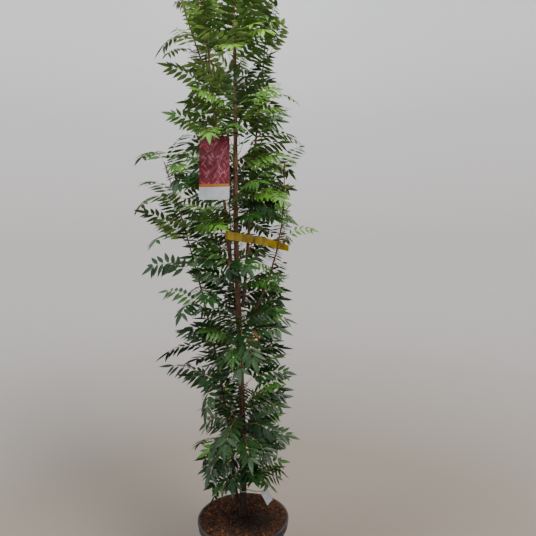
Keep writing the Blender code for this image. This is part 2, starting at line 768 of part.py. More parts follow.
def mass_shells(limb, height, azimuth, at_tip, obstacles, tips, chance):
    """The shells of a spur and its leaves, and where their blades' tips are seen.

    Each leaf takes the try that fits with most room round it.
    """
    plan = SPURS[limb]
    path, out = tip_path(limb, height) if at_tip else spur_path(limb, height, azimuth)
    shells, own = [twig_shell(path)], []
    free = not touches(shells[0], obstacles, 0.0)
    leaves = len(TIP_STEEPER) if at_tip else plan["leaves"]
    fan = TIP_FAN if at_tip else plan["fan"]
    reach = plan["length"] * LONGEST + SPUR_LENGTH
    for i in range(leaves):
        start = path[-2][0].lerp(path[-1][0], LEAF_SEAT - LEAF_SEAT_STEP * i)
        turn = azimuth + fan * (i - (leaves - 1) / 2)
        best = None
        for _ in range(LEAF_TRIES):
            leaf = leaf_of(plan, start, turn, height, TIP_STEEPER[i] if at_tip else 0, chance)
            if not free:
                continue
            grown = leaf_shell(leaf)
            if (
                in_own_space(grown, path[0][0], out, reach)
                and in_outline(grown)
                and not touches(grown, obstacles, LEAF_ROOM)
            ):
                room = room_round(grown, tips + own)
                if best is None or room > best[0]:
                    best = (room, grown)
        if best:
            shells.append(best[1])
            own += [seen_at(tip) for tip in blade_tips(best[1])]
    return shells, own


def limb_masses(limb, obstacles, tips):
    """Names and shells of the masses on a limb. Each becomes an obstacle to those that come after it."""
    plan, masses = SPURS[limb], []
    chance = random.Random(FOLIAGE_SEED + list(SPURS).index(limb))
    top = TRUNK_RISE if limb == "trunk" else BOUGHS[limb]["foot"] + BOUGHS[limb]["rise"]
    count = round((top - plan["first"]) / plan["spacing"])
    for i in range(count + 1):
        at_tip = i == count
        kept, kept_tips = [], []
        for _ in range(MASS_TRIES):
            height = plan["first"] + plan["spacing"] * (i + chance.uniform(-SPUR_SHIFT, SPUR_SHIFT))
            azimuth = plan["azimuths"][i % len(plan["azimuths"])] + chance.uniform(-SPUR_TURN, SPUR_TURN)
            height = top if at_tip else height
            shells, own = mass_shells(limb, height, azimuth, at_tip, obstacles, tips, chance)
            if len(shells) > max(len(kept), 1):
                kept, kept_tips = shells, own
        if kept:
            masses.append((f"foliage_{limb.replace('bough_', '')}_{i + 1:02d}", kept))
            obstacles += [BVHTree.FromPolygons(*shell) for shell in kept]
            tips += kept_tips
    return masses


def main():
    fresh_scene()
    plastic = material("dark_plastic", (0.02, 0.022, 0.026), 0.45)
    earth = material("compost", (0.09, 0.045, 0.025), 0.95)
    bark = material("bark", (0.16, 0.09, 0.05), 0.75)
    green = material("leaf", (0.05, 0.16, 0.03), 0.5)
    crimson = material("crimson_card", (0.45, 0.02, 0.07), 0.35)
    yellow = material("yellow_card", (0.75, 0.55, 0.03), 0.4)
    white = material("white_card", (0.8, 0.8, 0.82), 0.4)

    pot = make_pot(plastic)
    compost = make_compost(earth)
    limbs = ["trunk", *BOUGHS]
    wood = [make_limb(name, bark) for name in limbs]
    labels = [
        strapped_label("hang_tag", HANG_TAG, crimson),
        strapped_label("pot_label", POT_LABEL, white),
        loop_label(yellow),
    ]
    obstacles = [tree_of(evaluated_mesh(obj), 0.0) for obj in [pot, compost, *wood, *labels]]
    tips = []
    for limb in limbs:
        for name, shells in limb_masses(limb, obstacles, tips):
            fused(name, shells, green)


main()
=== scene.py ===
import json
import math
import random

import bpy
from mathutils import Matrix, Vector, geometry, noise
from mathutils.bvhtree import BVHTree
from mathutils.kdtree import KDTree

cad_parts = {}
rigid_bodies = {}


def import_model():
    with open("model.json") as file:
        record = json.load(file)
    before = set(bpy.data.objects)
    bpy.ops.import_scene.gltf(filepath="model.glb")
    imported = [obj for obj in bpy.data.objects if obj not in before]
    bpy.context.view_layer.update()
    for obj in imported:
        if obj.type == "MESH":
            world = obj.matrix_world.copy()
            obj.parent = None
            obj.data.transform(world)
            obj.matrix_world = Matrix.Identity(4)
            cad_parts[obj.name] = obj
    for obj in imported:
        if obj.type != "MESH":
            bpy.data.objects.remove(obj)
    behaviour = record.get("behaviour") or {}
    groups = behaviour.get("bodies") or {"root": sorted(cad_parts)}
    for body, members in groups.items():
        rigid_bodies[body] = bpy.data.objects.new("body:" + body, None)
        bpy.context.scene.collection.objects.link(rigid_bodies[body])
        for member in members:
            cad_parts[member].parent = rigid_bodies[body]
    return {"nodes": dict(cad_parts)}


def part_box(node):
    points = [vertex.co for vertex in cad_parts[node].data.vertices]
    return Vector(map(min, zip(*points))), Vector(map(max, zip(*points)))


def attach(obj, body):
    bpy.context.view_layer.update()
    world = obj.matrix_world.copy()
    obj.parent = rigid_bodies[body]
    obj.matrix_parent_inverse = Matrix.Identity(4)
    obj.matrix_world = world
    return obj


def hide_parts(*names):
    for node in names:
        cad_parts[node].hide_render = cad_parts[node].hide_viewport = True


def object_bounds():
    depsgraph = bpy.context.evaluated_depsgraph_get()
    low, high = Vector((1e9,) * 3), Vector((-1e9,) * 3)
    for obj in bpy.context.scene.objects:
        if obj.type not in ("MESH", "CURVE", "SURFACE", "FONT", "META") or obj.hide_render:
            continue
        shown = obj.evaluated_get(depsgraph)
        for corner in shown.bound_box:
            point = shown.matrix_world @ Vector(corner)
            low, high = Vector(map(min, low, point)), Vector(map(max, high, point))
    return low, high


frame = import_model()
cadBox = [list(corner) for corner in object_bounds()]
nodes = frame["nodes"]
print("frame loaded:", len(nodes), "nodes")

camera = {
    "place": (0.091, -1.567, 1.184),
    "pitch": -3.7,
    "roll": -0.63,
    "focalPixels": 490,
    "framePixels": 536,
    "sensorMm": 36,
}

cameraData = bpy.data.cameras.new("camera")
cameraData.sensor_width = camera["sensorMm"]
cameraData.lens = camera["focalPixels"] / camera["framePixels"] * camera["sensorMm"]
cameraObject = bpy.data.objects.new("camera", cameraData)
bpy.context.scene.collection.objects.link(cameraObject)
cameraObject.matrix_world = (
    Matrix.Translation(camera["place"])
    @ Matrix.Rotation(math.radians(90 + camera["pitch"]), 4, "X")
    @ Matrix.Rotation(math.radians(camera["roll"]), 4, "Z")
)
bpy.context.scene.camera = cameraObject


def linear(hexColour):
    channels = [int(hexColour[i : i + 2], 16) / 255 for i in (1, 3, 5)]
    return tuple(c / 12.92 if c <= 0.04045 else ((c + 0.055) / 1.055) ** 2.4 for c in channels) + (1.0,)


def addNode(tree, kind, values):  # a value that is another node's output is linked
    node = tree.nodes.new(kind)
    for key, value in values.items():
        if not (isinstance(key, int) or key in node.inputs):
            setattr(node, key, value)
        elif isinstance(value, bpy.types.NodeSocket):
            tree.links.new(value, node.inputs[key])
        else:
            node.inputs[key].default_value = value
    return node


def newMaterial(name, roughness, ior):
    made = bpy.data.materials.new(name)
    made.use_nodes = True
    shader = made.node_tree.nodes["Principled BSDF"]
    shader.inputs["Roughness"].default_value = roughness
    shader.inputs["IOR"].default_value = ior
    return made, made.node_tree, shader


def ramp(tree, source, stops):
    node = addNode(tree, "ShaderNodeValToRGB", {"Fac": source})
    elements = node.color_ramp.elements
    while len(elements) < len(stops):
        elements.new(0.5)
    for element, (place, colour) in zip(elements, stops):
        element.position = place
        element.color = linear(colour)
    return node.outputs["Color"]


def ranged(tree, value, low, high):
    values = {"Value": value, "From Min": low, "From Max": high}
    return addNode(tree, "ShaderNodeMapRange", values).outputs["Result"]


def reckoned(tree, operation, *values):
    return addNode(tree, "ShaderNodeMath", {"operation": operation, **dict(enumerate(values))}).outputs[0]


def blended(tree, share, first, second, blend="MIX"):
    values = {"data_type": "RGBA", "blend_type": blend, 0: share, 6: first, 7: second}
    return addNode(tree, "ShaderNodeMix", values).outputs[2]


def objectPlace(tree):
    return addNode(tree, "ShaderNodeTexCoord", {}).outputs["Object"]


def objectHeight(tree):
    return addNode(tree, "ShaderNodeSeparateXYZ", {"Vector": objectPlace(tree)}).outputs["Z"]


def noiseField(tree, sizeMm, detail=4, stretch=(1, 1, 1)):
    turned = addNode(tree, "ShaderNodeMapping", {"Scale": stretch, "Vector": objectPlace(tree)})
    values = {"Scale": 1000 / sizeMm, "Detail": detail, "Roughness": 0.55, "Vector": turned.outputs["Vector"]}
    return addNode(tree, "ShaderNodeTexNoise", values).outputs["Fac"]


def bumpFrom(tree, shader, height, depthMm, strength):
    values = {"Strength": strength, "Distance": depthMm / 1000, "Height": height}
    tree.links.new(addNode(tree, "ShaderNodeBump", values).outputs["Normal"], shader.inputs["Normal"])


def deselectAll():
    if bpy.context.object and bpy.context.object.mode != "OBJECT":
        bpy.ops.object.mode_set(mode="OBJECT")
    bpy.ops.object.select_all(action="DESELECT")


def activate(obj):
    deselectAll()
    obj.select_set(True)
    bpy.context.view_layer.objects.active = obj


def smoothEdges(obj, degrees):
    activate(obj)
    bpy.ops.object.shade_smooth_by_angle(angle=math.radians(degrees))


def settled(obj, name):
    obj.name = name
    obj.data.name = name
    activate(obj)
    bpy.ops.object.transform_apply(location=True, rotation=True, scale=True)
    return obj


def finished(piece, slot, *replaced):
    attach(piece, "root")
    if replaced:
        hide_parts(*replaced)


def newParts():
    return {"vertices": [], "faces": [], "kinds": [], "uvs": []}


def meshPiece(name, parts, materials):
    mesh = bpy.data.meshes.new(name)
    mesh.from_pydata(parts["vertices"], [], parts["faces"])
    for material in materials:
        mesh.materials.append(material)
    if parts["kinds"]:
        mesh.polygons.foreach_set("material_index", parts["kinds"])
    if parts["uvs"]:
        layer = mesh.uv_layers.new(name="leafMap")
        flat = []
        for loop in mesh.loops:
            flat += parts["uvs"][loop.vertex_index]
        layer.data.foreach_set("uv", flat)
    mesh.polygons.foreach_set("use_smooth", [True] * len(mesh.polygons))
    mesh.update()
    obj = bpy.data.objects.new(name, mesh)
    bpy.context.scene.collection.objects.link(obj)
    return obj


# Stage: a round studio whose floor sweeps up into one wall that goes all the way round
stage = {
    "wallRadius": 4.2,
    "sweep": 1.1,
    "height": 4.9,
    "sides": 96,
    "sweepSteps": 24,
    "runTo": 9.0,  # metres along the floor and up the wall that the colours are spread over
    # painted falloff of light: the backdrop's colour runs from dark on the floor at the middle to pale high
    # up the wall
    "colours": (
        (0.04, "#7D746A"),
        (0.13, "#877F76"),
        (0.34, "#B6B1AE"),
        (0.74, "#D6D6D8"),
        (0.90, "#F1F4F7"),
    ),
}


def makeStage():
    # painted plaster: matt and pale, with a painted falloff of light in its colour: darkest on the floor at
    # the middle, paler along the floor and up the wall
    material, tree, shader = newMaterial("painted plaster backdrop", 0.9, 1.5)
    flat = {"operation": "MULTIPLY", 0: objectPlace(tree), 1: (1, 1, 0)}
    level = addNode(tree, "ShaderNodeVectorMath", flat)
    away = addNode(tree, "ShaderNodeVectorMath", {"operation": "LENGTH", 0: level.outputs["Vector"]})
    run = reckoned(tree, "ADD", away.outputs["Value"], objectHeight(tree))
    share = ranged(tree, run, 0.0, stage["runTo"])
    tree.links.new(ramp(tree, share, stage["colours"]), shader.inputs["Base Color"])
    deselectAll()
    bpy.ops.mesh.primitive_cylinder_add(
        vertices=stage["sides"],
        radius=stage["wallRadius"],
        depth=stage["height"],
        location=(0, 0, stage["height"] / 2),
    )
    room = bpy.context.object
    bpy.ops.object.mode_set(mode="EDIT")
    bpy.ops.mesh.select_all(action="DESELECT")
    bpy.ops.object.mode_set(mode="OBJECT")
    for polygon in room.data.polygons:
        polygon.select = polygon.normal.z > 0.9
    bpy.ops.object.mode_set(mode="EDIT")
    bpy.ops.mesh.delete(type="FACE")
    bpy.ops.object.mode_set(mode="OBJECT")
    bevel = room.modifiers.new("sweep", "BEVEL")
    bevel.width = stage["sweep"]
    bevel.segments = stage["sweepSteps"]
    bpy.ops.object.modifier_apply(modifier="sweep")
    bpy.ops.object.mode_set(mode="EDIT")
    bpy.ops.mesh.select_all(action="SELECT")
    bpy.ops.mesh.flip_normals()
    bpy.ops.object.mode_set(mode="OBJECT")
    bpy.ops.object.shade_smooth()
    room.data.materials.append(material)
    settled(room, "backdrop")


lights = {
    "key": {"place": (1.3, -1.5, 3.3), "aim": (0, 0, 1.3), "size": 1.0, "power": 110, "colour": "#FFF9F0"},
    "fill": {"place": (-2.2, -1.3, 2.9), "aim": (0, 0.3, 1.3), "size": 1.6, "power": 54, "colour": "#F3F6FF"},
    "top": {"place": (0.0, 0.2, 3.7), "aim": (0, 0, 1.0), "size": 1.4, "power": 60, "colour": "#FFFDF8"},
    "world": {"colour": "#ECECEA", "strength": 0.17},
    "wall": {
        "number": 6,
        "radius": 2.2,
        "height": 4.2,
        "aimAt": 1.9,
        "size": 1.6,
        "power": 26,
        "colour": "#FFFFFF",
    },
}


def makeLight(name, plan, place, aim):
    data = bpy.data.lights.new(name, "AREA")
    data.shape = "DISK"
    data.size = plan["size"]
    data.energy = plan["power"]
    data.color = linear(plan["colour"])[:3]
    light = bpy.data.objects.new(name, data)
    bpy.context.scene.collection.objects.link(light)
    light.location = place
    light.rotation_euler = (Vector(aim) - Vector(place)).to_track_quat("-Z", "Y").to_euler()
    light.visible_camera = False


def makeLights():
    for name in ("key", "fill", "top"):
        makeLight(name, lights[name], lights[name]["place"], lights[name]["aim"])
    wall = lights["wall"]
    for i in range(wall["number"]):  # a ring that lights the wall evenly and turns its back on the plant
        turn = math.radians(90 + 360 * i / wall["number"])
        out = Vector((math.cos(turn), math.sin(turn), 0))
        place = out * wall["radius"] + Vector((0, 0, wall["height"]))
        makeLight(f"wall_{i}", wall, place, out * stage["wallRadius"] + Vector((0, 0, wall["aimAt"])))
    world = bpy.data.worlds.new("studio")
    world.use_nodes = True
    sky = world.node_tree.nodes["Background"]
    sky.inputs["Color"].default_value = linear(lights["world"]["colour"])
    sky.inputs["Strength"].default_value = lights["world"]["strength"]
    bpy.context.scene.world = world


makeStage()
makeLights()
print("stage and lights done")

# The limbs: the same axes and tapers as the solids have
clearance = 0.0003
ground = 0.264
trunkPlan = {
    "rise": 1.84,
    "foot": 0.0105,
    "taper": 0.6,
    "tip": 0.0018,
    "lean": -0.006,
    "waveSide": 0.004,
    "waveFront": 0.003,
    "flare": 0.55,
    "flareRise": 0.030,
    "points": 15,
}
boughKeys = ("parent", "foot", "azimuth", "rise", "lean", "bow", "radius")
boughPlans = {
    name: dict(zip(boughKeys, values))
    for name, *values in (
        ("bough_long_left", "trunk", 0.050, 188, 1.07, 0.073, 0.107, 0.0048),
        ("bough_left", "trunk", 0.780, 200, 1.00, 0.082, 0.012, 0.0056),
        ("bough_left_fork", "bough_left", 1.400, 172, 0.34, 0.360, -0.100, 0.0032),
        ("bough_right", "trunk", 0.700, 28, 1.00, 0.092, 0.020, 0.0054),
        ("bough_outer_right", "trunk", 0.610, -14, 0.50, 0.575, -0.600, 0.0042),
        ("bough_back", "trunk", 0.440, 104, 0.66, 0.360, -0.140, 0.0044),
    )
}
boughTip = 0.0014
boughPoints = 10
boughWave = 0.003
boughBend = 1.6


def heading(azimuth, rise):
    a, e = math.radians(azimuth), math.radians(rise)
    return Vector((math.cos(e) * math.cos(a), math.cos(e) * math.sin(a), math.sin(e)))


def trunkAxis(rise):
    side = trunkPlan["lean"] * rise + trunkPlan["waveSide"] * math.sin(rise * 5.2)
    front = trunkPlan["waveFront"] * (math.sin(rise * 3.7 + 1.0) - math.sin(1.0))
    return Vector((side, front, ground + rise))


def trunkRadius(rise):
    share = min(1.0, rise / trunkPlan["rise"])
    flare = trunkPlan["flare"] * math.exp(-rise / trunkPlan["flareRise"])
    return trunkPlan["foot"] * ((1 - share) ** trunkPlan["taper"] + flare) + trunkPlan["tip"] * share


def limbRadius(name, rise):
    if name == "trunk":
        return trunkRadius(rise)
    bough = boughPlans[name]
    share = min(1.0, max(0.0, (rise - bough["foot"]) / bough["rise"]))
    return bough["radius"] + (boughTip - bough["radius"]) * share


def limbAxis(name, rise):
    if name == "trunk":
        return trunkAxis(rise)
    bough = boughPlans[name]
    climbed = rise - bough["foot"]
    collar = limbRadius(bough["parent"], bough["foot"]) + boughBend * bough["radius"] + clearance
    run = collar + bough["lean"] * climbed + bough["bow"] * climbed**2
    wave = boughWave * math.sin(climbed * 11 + bough["azimuth"])
    side = heading(bough["azimuth"] + 90, 0) * wave
    base = limbAxis(bough["parent"], bough["foot"])
    return base + heading(bough["azimuth"], 0) * run + side + Vector((0, 0, climbed))


def seatOn(name, rise):  # place, direction and radius on the straight stretches that the solid is made of
    path = limbPath(name)
    height = ground + rise
    last = next((i for i, (place, _) in enumerate(path) if place.z > height), len(path) - 1)
    (low, lowRadius), (high, highRadius) = path[last - 1], path[last]
    share = (height - low.z) / (high.z - low.z)
    return low.lerp(high, share), (high - low).normalized(), lowRadius + (highRadius - lowRadius) * share


def limbPath(name):
    if name == "trunk":
        last = trunkPlan["points"] - 1
        heights = [trunkPlan["rise"] * (i / last) ** 1.25 for i in range(last + 1)]
        return [(trunkAxis(h), trunkRadius(h)) for h in heights]
    bough = boughPlans[name]
    foot, radius = bough["foot"], bough["radius"]
    place, along, parentRadius = seatOn(bough["parent"], foot)
    out = heading(bough["azimuth"], 0)
    out = (out - along * out.dot(along)).normalized()
    start = place + out * (parentRadius + clearance)
    path = [(start, radius * 1.25), (start + out * radius * 1.1, radius * 1.2)]
    for i in range(boughPoints - 2):
        climbed = 2.4 * radius + (bough["rise"] - 2.4 * radius) * (i / (boughPoints - 3)) ** 1.15
        path.append((limbAxis(name, foot + climbed), limbRadius(name, foot + climbed)))
    return path


# Bark: each limb is a fine tube over its solid, with furrows, pores, leaf scars and buds
bark = {
    "sides": 22,
    "boughSides": 14,
    "stepMm": 4.0,
    "furrowMm": 0.45,
    "furrowEach": 3.2,  # width in mm of the material's furrows, patches and pores
    "patchEach": 28,
    "poreEach": 2.6,
    "scarSpacing": 0.048,
    "scarSharp": 6.5,
    "scarTurn": 2.4,  # radians from each leaf scar to the next
    "furrowScale": (420, 420, 26),  # of the noise that moves the surface
    "lumpScale": (70, 70, 34),
    "fullDepthAt": 0.006,  # radius of the thinnest limb that has furrows of the full depth
    "youngColour": "#7A5232",
    "oldColour": "#8A6240",
    "darkColour": "#3E281A",
    "poreColour": "#9C7E5A",
    "paintedShadeColour": "#585040",  # painted shade of the foliage on the bark, darkest at the foot
    "paintedShadeHeights": (0.55, 1.25),
}


def barkMaterial():
    # young rowan bark: smooth, satin, with fine upright furrows and pale pores that run across it
    material, tree, shader = newMaterial("smooth young rowan bark", 0.5, 1.45)
    furrows = noiseField(tree, bark["furrowEach"], 5, (1, 1, 0.12))
    patches = noiseField(tree, bark["patchEach"], 3, (1, 1, 0.35))
    pores = noiseField(tree, bark["poreEach"], 2, (0.45, 0.45, 1.6))
    browns = [(0.3, bark["darkColour"]), (0.5, bark["youngColour"]), (0.72, bark["oldColour"])]
    base = ramp(tree, patches, browns)
    lines = ramp(tree, furrows, [(0.35, "#5A5A5A"), (0.6, "#FFFFFF")])
    # painted shade: the bark is darkened towards the foot of the limbs, where the foliage shades it, and not
    # at all above the upper of the two heights
    unshadedShare = ranged(tree, objectHeight(tree), *bark["paintedShadeHeights"])
    paintedShade = ramp(tree, unshadedShare, [(0.0, bark["paintedShadeColour"]), (1.0, "#FFFFFF")])
    lined = blended(tree, 0.75, blended(tree, 1.0, base, paintedShade, "MULTIPLY"), lines, "MULTIPLY")
    spotted = blended(tree, ranged(tree, pores, 0.66, 0.72), lined, linear(bark["poreColour"]))
    tree.links.new(spotted, shader.inputs["Base Color"])
    bumpFrom(tree, shader, furrows, 0.6, 0.7)
    return material


def fineLimb(name):
    path = limbPath(name)
    stretch = [0.0]
    for (a, _), (b, _) in zip(path, path[1:]):
        stretch.append(stretch[-1] + (b - a).length)
    count = int(stretch[-1] * 1000 / bark["stepMm"]) + 1
    curve = bpy.data.curves.new(name, "CURVE")
    curve.dimensions = "3D"
    curve.bevel_depth = path[0][1]
    curve.bevel_resolution = ((bark["sides"] if name == "trunk" else bark["boughSides"]) - 4) // 2
    curve.use_fill_caps = True
    spline = curve.splines.new("POLY")
    spline.points.add(count - 1)
    for i, point in enumerate(spline.points):
        at = stretch[-1] * i / (count - 1)
        k = min(next((j for j, s in enumerate(stretch) if s > at), len(stretch)) - 1, len(path) - 2)
        share = (at - stretch[k]) / (stretch[k + 1] - stretch[k])
        (low, lowRadius), (high, highRadius) = path[k], path[k + 1]
        radius = lowRadius + (highRadius - lowRadius) * share
        point.co = (*low.lerp(high, share), 1.0)
        point.radius = radius / curve.bevel_depth
    tube = bpy.data.objects.new(name, curve)
    bpy.context.scene.collection.objects.link(tube)
    activate(tube)
    bpy.ops.object.convert(target="MESH")
    tube = bpy.context.object
    roughen(tube, name)
    return tube


def roughen(tube, name):
    mesh = tube.data
    normals = [v.normal.copy() for v in mesh.vertices]
    foot = 0.0 if name == "trunk" else boughPlans[name]["foot"]
    for vertex, normal in zip(mesh.vertices, normals):
        p = vertex.co
        rise = p.z - ground
        furrow = noise.noise(p * Vector(bark["furrowScale"]))
        lump = noise.noise(p * Vector(bark["lumpScale"]) + Vector((0, 0, foot)))
        phase = (rise - foot) / bark["scarSpacing"]
        knot = math.exp(-(((phase - round(phase)) * bark["scarSharp"]) ** 2))
        around = math.atan2(normal.y, normal.x) - round(phase) * bark["scarTurn"]
        facing = max(0.0, math.cos(around)) ** 3
        depth = bark["furrowMm"] * (0.45 * furrow + 0.5 * lump) + knot * (0.25 + 0.9 * facing)
        scale = min(1.0, limbRadius(name, rise) / bark["fullDepthAt"])
        vertex.co = p + normal * (depth * scale / 1000)
    for polygon in mesh.polygons:
        polygon.use_smooth = True


def makeBark():
    material = barkMaterial()
    for name in ("trunk", *boughPlans):
        tube = fineLimb(name)
        tube.data.materials.clear()
        tube.data.materials.append(material)
        finished(settled(tube, "bark_" + name.replace("bough_", "")), "bark", name)


makeBark()
print("bark done")


# Foliage: spurs on each limb, grown by the rule of the solids, with finer leaflets and more leaves.
# Each limb has its first spur's height, their spacing and azimuths, and the leaves' number, fan and length
spurKeys = ("first", "spacing", "azimuths", "leaves", "fan", "length")
spurPlans = {
    limb: dict(zip(spurKeys, values))
    for limb, *values in (
        ("trunk", 0.115, 0.115, (266, 84, 250, 100), 3, 80, 0.178),
        ("bough_long_left", 0.215, 0.115, (212, 148), 2, 64, 0.182),
        ("bough_left", 0.950, 0.138, (212, 148), 2, 68, 0.165),
        ("bough_left_fork", 1.500, 0.150, (210, 140), 2, 64, 0.150),
        ("bough_right", 0.900, 0.150, (-32, 34), 2, 64, 0.165),
        ("bough_outer_right", 0.780, 0.110, (-32, 34), 2, 64, 0.130),
        ("bough_back", 0.640, 0.200, (60, 140), 2, 70, 0.165),
    )
}
growth = {
    "seed": 1,  # of the trunk's spurs; each limb after it takes the next
    "massTries": 4,  # as the solids, which keep the one that has most leaves
    "spurShift": 0.18,
    "spurTurn": 14,
    "spurLength": 0.026,
    "spurRadius": 0.0019,
    "spurElbow": 0.35,
    "leafSeat": 0.94,
    "leafSeatStep": 0.2,
    "lowRise": 30,
    "highRise": 44,
    "lowDroop": 70,
    "highDroop": 56,
    "tipFan": 105,
    "tipSteeper": (8, 30, 14),
    "azimuthVaries": 30,
    "riseVaries": 18,
    "droopVaries": 20,
    "swingVaries": 18,
    "rollVaries": 26,
    "shortest": 0.80,
    "longest": 1.08,
    "tries": 24,
    "spaceBehind": 0.5,
    "sideSpurs": {"trunk": 9, "bough": 5},  # short extra spurs of each mass
    "footSpurs": 9,  # more in front of the foot of the trunk, which hide it
    "footTurn": 36,
    "sideLeaves": 2,
    "sideTries": 22,
    "sideSeed": 11,
    "sideTurn": 115,
    "sideLength": 0.009,
    "sideSeat": (0.9, 0.4),  # where the first leaf joins its spur, and how far back the next one does
    "sideFan": 60,
    "sideSpread": (-40, 40),
    "sideSteeper": (-20, 16),
    "sideDroop": 0.75,
    "sideScale": 0.72,
    "boxSlack": 0.004,
    "turnOut": (22, 58),  # how far a blade rolls to look away from the stems
    "frontFlat": 0.55,  # less so for a leaf that points to the front or the back
    "turnSteps": (1.0, 0.66, 0.33),
    "cellMm": 6,
    "outerWeight": -0.1,
    "leastCover": 5,  # squares
    "lowestSeen": 0.315,
}
leafForm = {
    "solidLeaflet": 0.30,  # leaflet length of the solids, as a share of the leaf
    "solidFoot": 0.0032,
    "solidEnd": 1.15,
    "solidMatch": 0.0004,  # how near a leaf's tip lies to its solid's
    "pairs": 7,
    "leaflet": 0.275,
    "width": 0.30,
    "splayFoot": 68,
    "splayTip": 46,
    "hang": 13,
    "endLeaflet": 1.08,
    "bareStalk": 0.25,
    "lastPair": 0.93,
    "short": (0.150, 0.125),  # leaves under these lengths have a pair fewer each
    "stalkRadius": 0.00085,
    "stalkSteps": 12,
    "stalkSides": 5,
    "stalkDepth": 0.002,
    "teeth": 6,
    "toothDepth": 0.12,
    "toothLean": 0.82,
    "widest": 0.36,
    "curl": (0.02, 0.13),
    "sideBend": 0.05,
    "thickness": 0.0004,
    "fold": 0.13,
}
eye = Vector((0.091, -1.567, 1.184))
outlineSlack = 0.006
outline = (  # how far leaves reach, as in the solids: height above the soil, left, right
    (0.00, 0.125, 0.160),
    (0.09, 0.120, 0.160),
    (0.20, 0.165, 0.160),
    (0.26, 0.150, 0.185),
    (0.33, 0.160, 0.125),
    (0.40, 0.150, 0.180),
    (0.46, 0.230, 0.178),
    (0.53, 0.300, 0.160),
    (0.57, 0.260, 0.235),
    (0.63, 0.240, 0.240),
    (0.70, 0.185, 0.195),
    (0.76, 0.330, 0.155),
    (0.86, 0.315, 0.170),
    (0.93, 0.280, 0.260),
    (1.00, 0.365, 0.160),
    (1.05, 0.260, 0.225),
    (1.11, 0.350, 0.235),
    (1.17, 0.357, 0.200),
    (1.21, 0.280, 0.230),
    (1.28, 0.225, 0.170),
    (1.34, 0.235, 0.195),
    (1.42, 0.190, 0.120),
    (1.47, 0.280, 0.130),
    (1.51, 0.275, 0.158),
    (1.61, 0.180, 0.145),
    (1.75, 0.190, 0.150),
    (2.10, 0.130, 0.110),
)
denseMiddle = (  # how far the close foliage reaches, in the same way
    (0.05, 0.085, 0.130),
    (0.25, 0.090, 0.140),
    (0.48, 0.115, 0.145),
    (0.65, 0.115, 0.125),
    (0.85, 0.145, 0.150),
    (1.02, 0.220, 0.160),
    (1.18, 0.170, 0.130),
    (1.32, 0.130, 0.115),
    (1.65, 0.140, 0.110),
    (2.10, 0.100, 0.090),
)


def seenAt(point):
    nearer = eye.y / (eye.y - point.y)
    return eye.x + (point.x - eye.x) * nearer, eye.z + (point.z - eye.z) * nearer


cardTop = 1.485  # of the hang tag, without its strap
tapeBare = 0.085  # past this the tape's tail may have a leaf across it
labelFaces = []
for name in ("hang_tag", "loop_label", "pot_label"):
    low, high = (Vector(corner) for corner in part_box(name))
    edges = [seenAt(Vector((x, low.y, z))) for x in (low.x, high.x) for z in (low.z, high.z)]
    if name == "hang_tag":
        edges = [(x, min(z, cardTop)) for x, z in edges]
    if name == "loop_label":
        edges = [(min(x, tapeBare), z) for x, z in edges]
    sides, heights = zip(*edges)
    labelFaces.append(((min(sides), min(heights)), (max(sides), max(heights)), high.y))


def across(along, roll):
    level = along.cross(Vector((0, 0, 1)))
    if level.length < 0.05:
        level = Vector((1, 0, 0))
    return Matrix.Rotation(math.radians(roll), 3, along) @ level.normalized()


def stalkPoints(leaf, steps):
    place = leaf["start"].copy()
    points = [place.copy()]
    step = leaf["length"] * (1 - 0.5 * leafForm["solidLeaflet"]) / steps
    for i in range(steps):
        share = (i + 0.5) / steps
        rise = leaf["rise"] - leaf["droop"] * share**1.2
        place = place + heading(leaf["azimuth"] + leaf["swing"] * share, rise) * step
        points.append(place.copy())
    return points


def pointOn(points, share):
    steps = len(points) - 1
    at = min(share * steps, steps - 1e-6)
    i = int(at)
    return points[i].lerp(points[i + 1], at - i), (points[i + 1] - points[i]).normalized()


def solidTip(leaf):  # where the solid leaf's end leaflet ends
    half = 0.5 * leafForm["solidFoot"] / leaf["length"]
    place, along = pointOn(stalkPoints(leaf, 3), leafForm["lastPair"] + half)
    return place + along * (leafForm["solidLeaflet"] * leaf["length"] * leafForm["solidEnd"])


def stationAt(share):
    return leafForm["bareStalk"] + (leafForm["lastPair"] - leafForm["bareStalk"]) * share


def leafletDirection(along, level, up, share, hand, hang):
    splay = math.radians(leafForm["splayFoot"] + (leafForm["splayTip"] - leafForm["splayFoot"]) * share)
    direction = along * math.cos(splay) + level * (hand * math.sin(splay))
    return (direction - up * math.tan(math.radians(hang))).normalized()


def leafletSize(share):
    return 0.76 + 0.24 * math.sin(math.pi * (0.15 + 0.75 * share))


def roughLeaf(leaf):  # flat blades for the tests of room
    points = stalkPoints(leaf, 3)
    vertices, faces, tips = [], [], []
    for pair in range(5):
        share = pair / 4
        place, along = pointOn(points, stationAt(share))
        level = across(along, leaf["roll"])
        up = level.cross(along)
        length = leafForm["leaflet"] * leaf["length"] * leafletSize(share)
        ends = [leafletDirection(along, level, up, share, hand, leafForm["hang"]) for hand in (-1, 1)]
        if pair == 4:
            ends.append(along)
        for direction in ends:
            side = direction.cross(up).normalized() * (0.5 * leafForm["width"] * length)
            middle = place + direction * (0.45 * length)
            base = len(vertices)
            tips.append(place + direction * length)
            vertices += [place, middle - side, tips[-1], middle + side]
            faces.append((base, base + 1, base + 2, base + 3))
    base, rise = len(vertices), Vector((0, 0, leafForm["stalkDepth"]))
    vertices += [points[0], points[1], points[1] + rise, points[0] + rise]
    faces.append((base, base + 1, base + 2, base + 3))
    return vertices, faces, tips


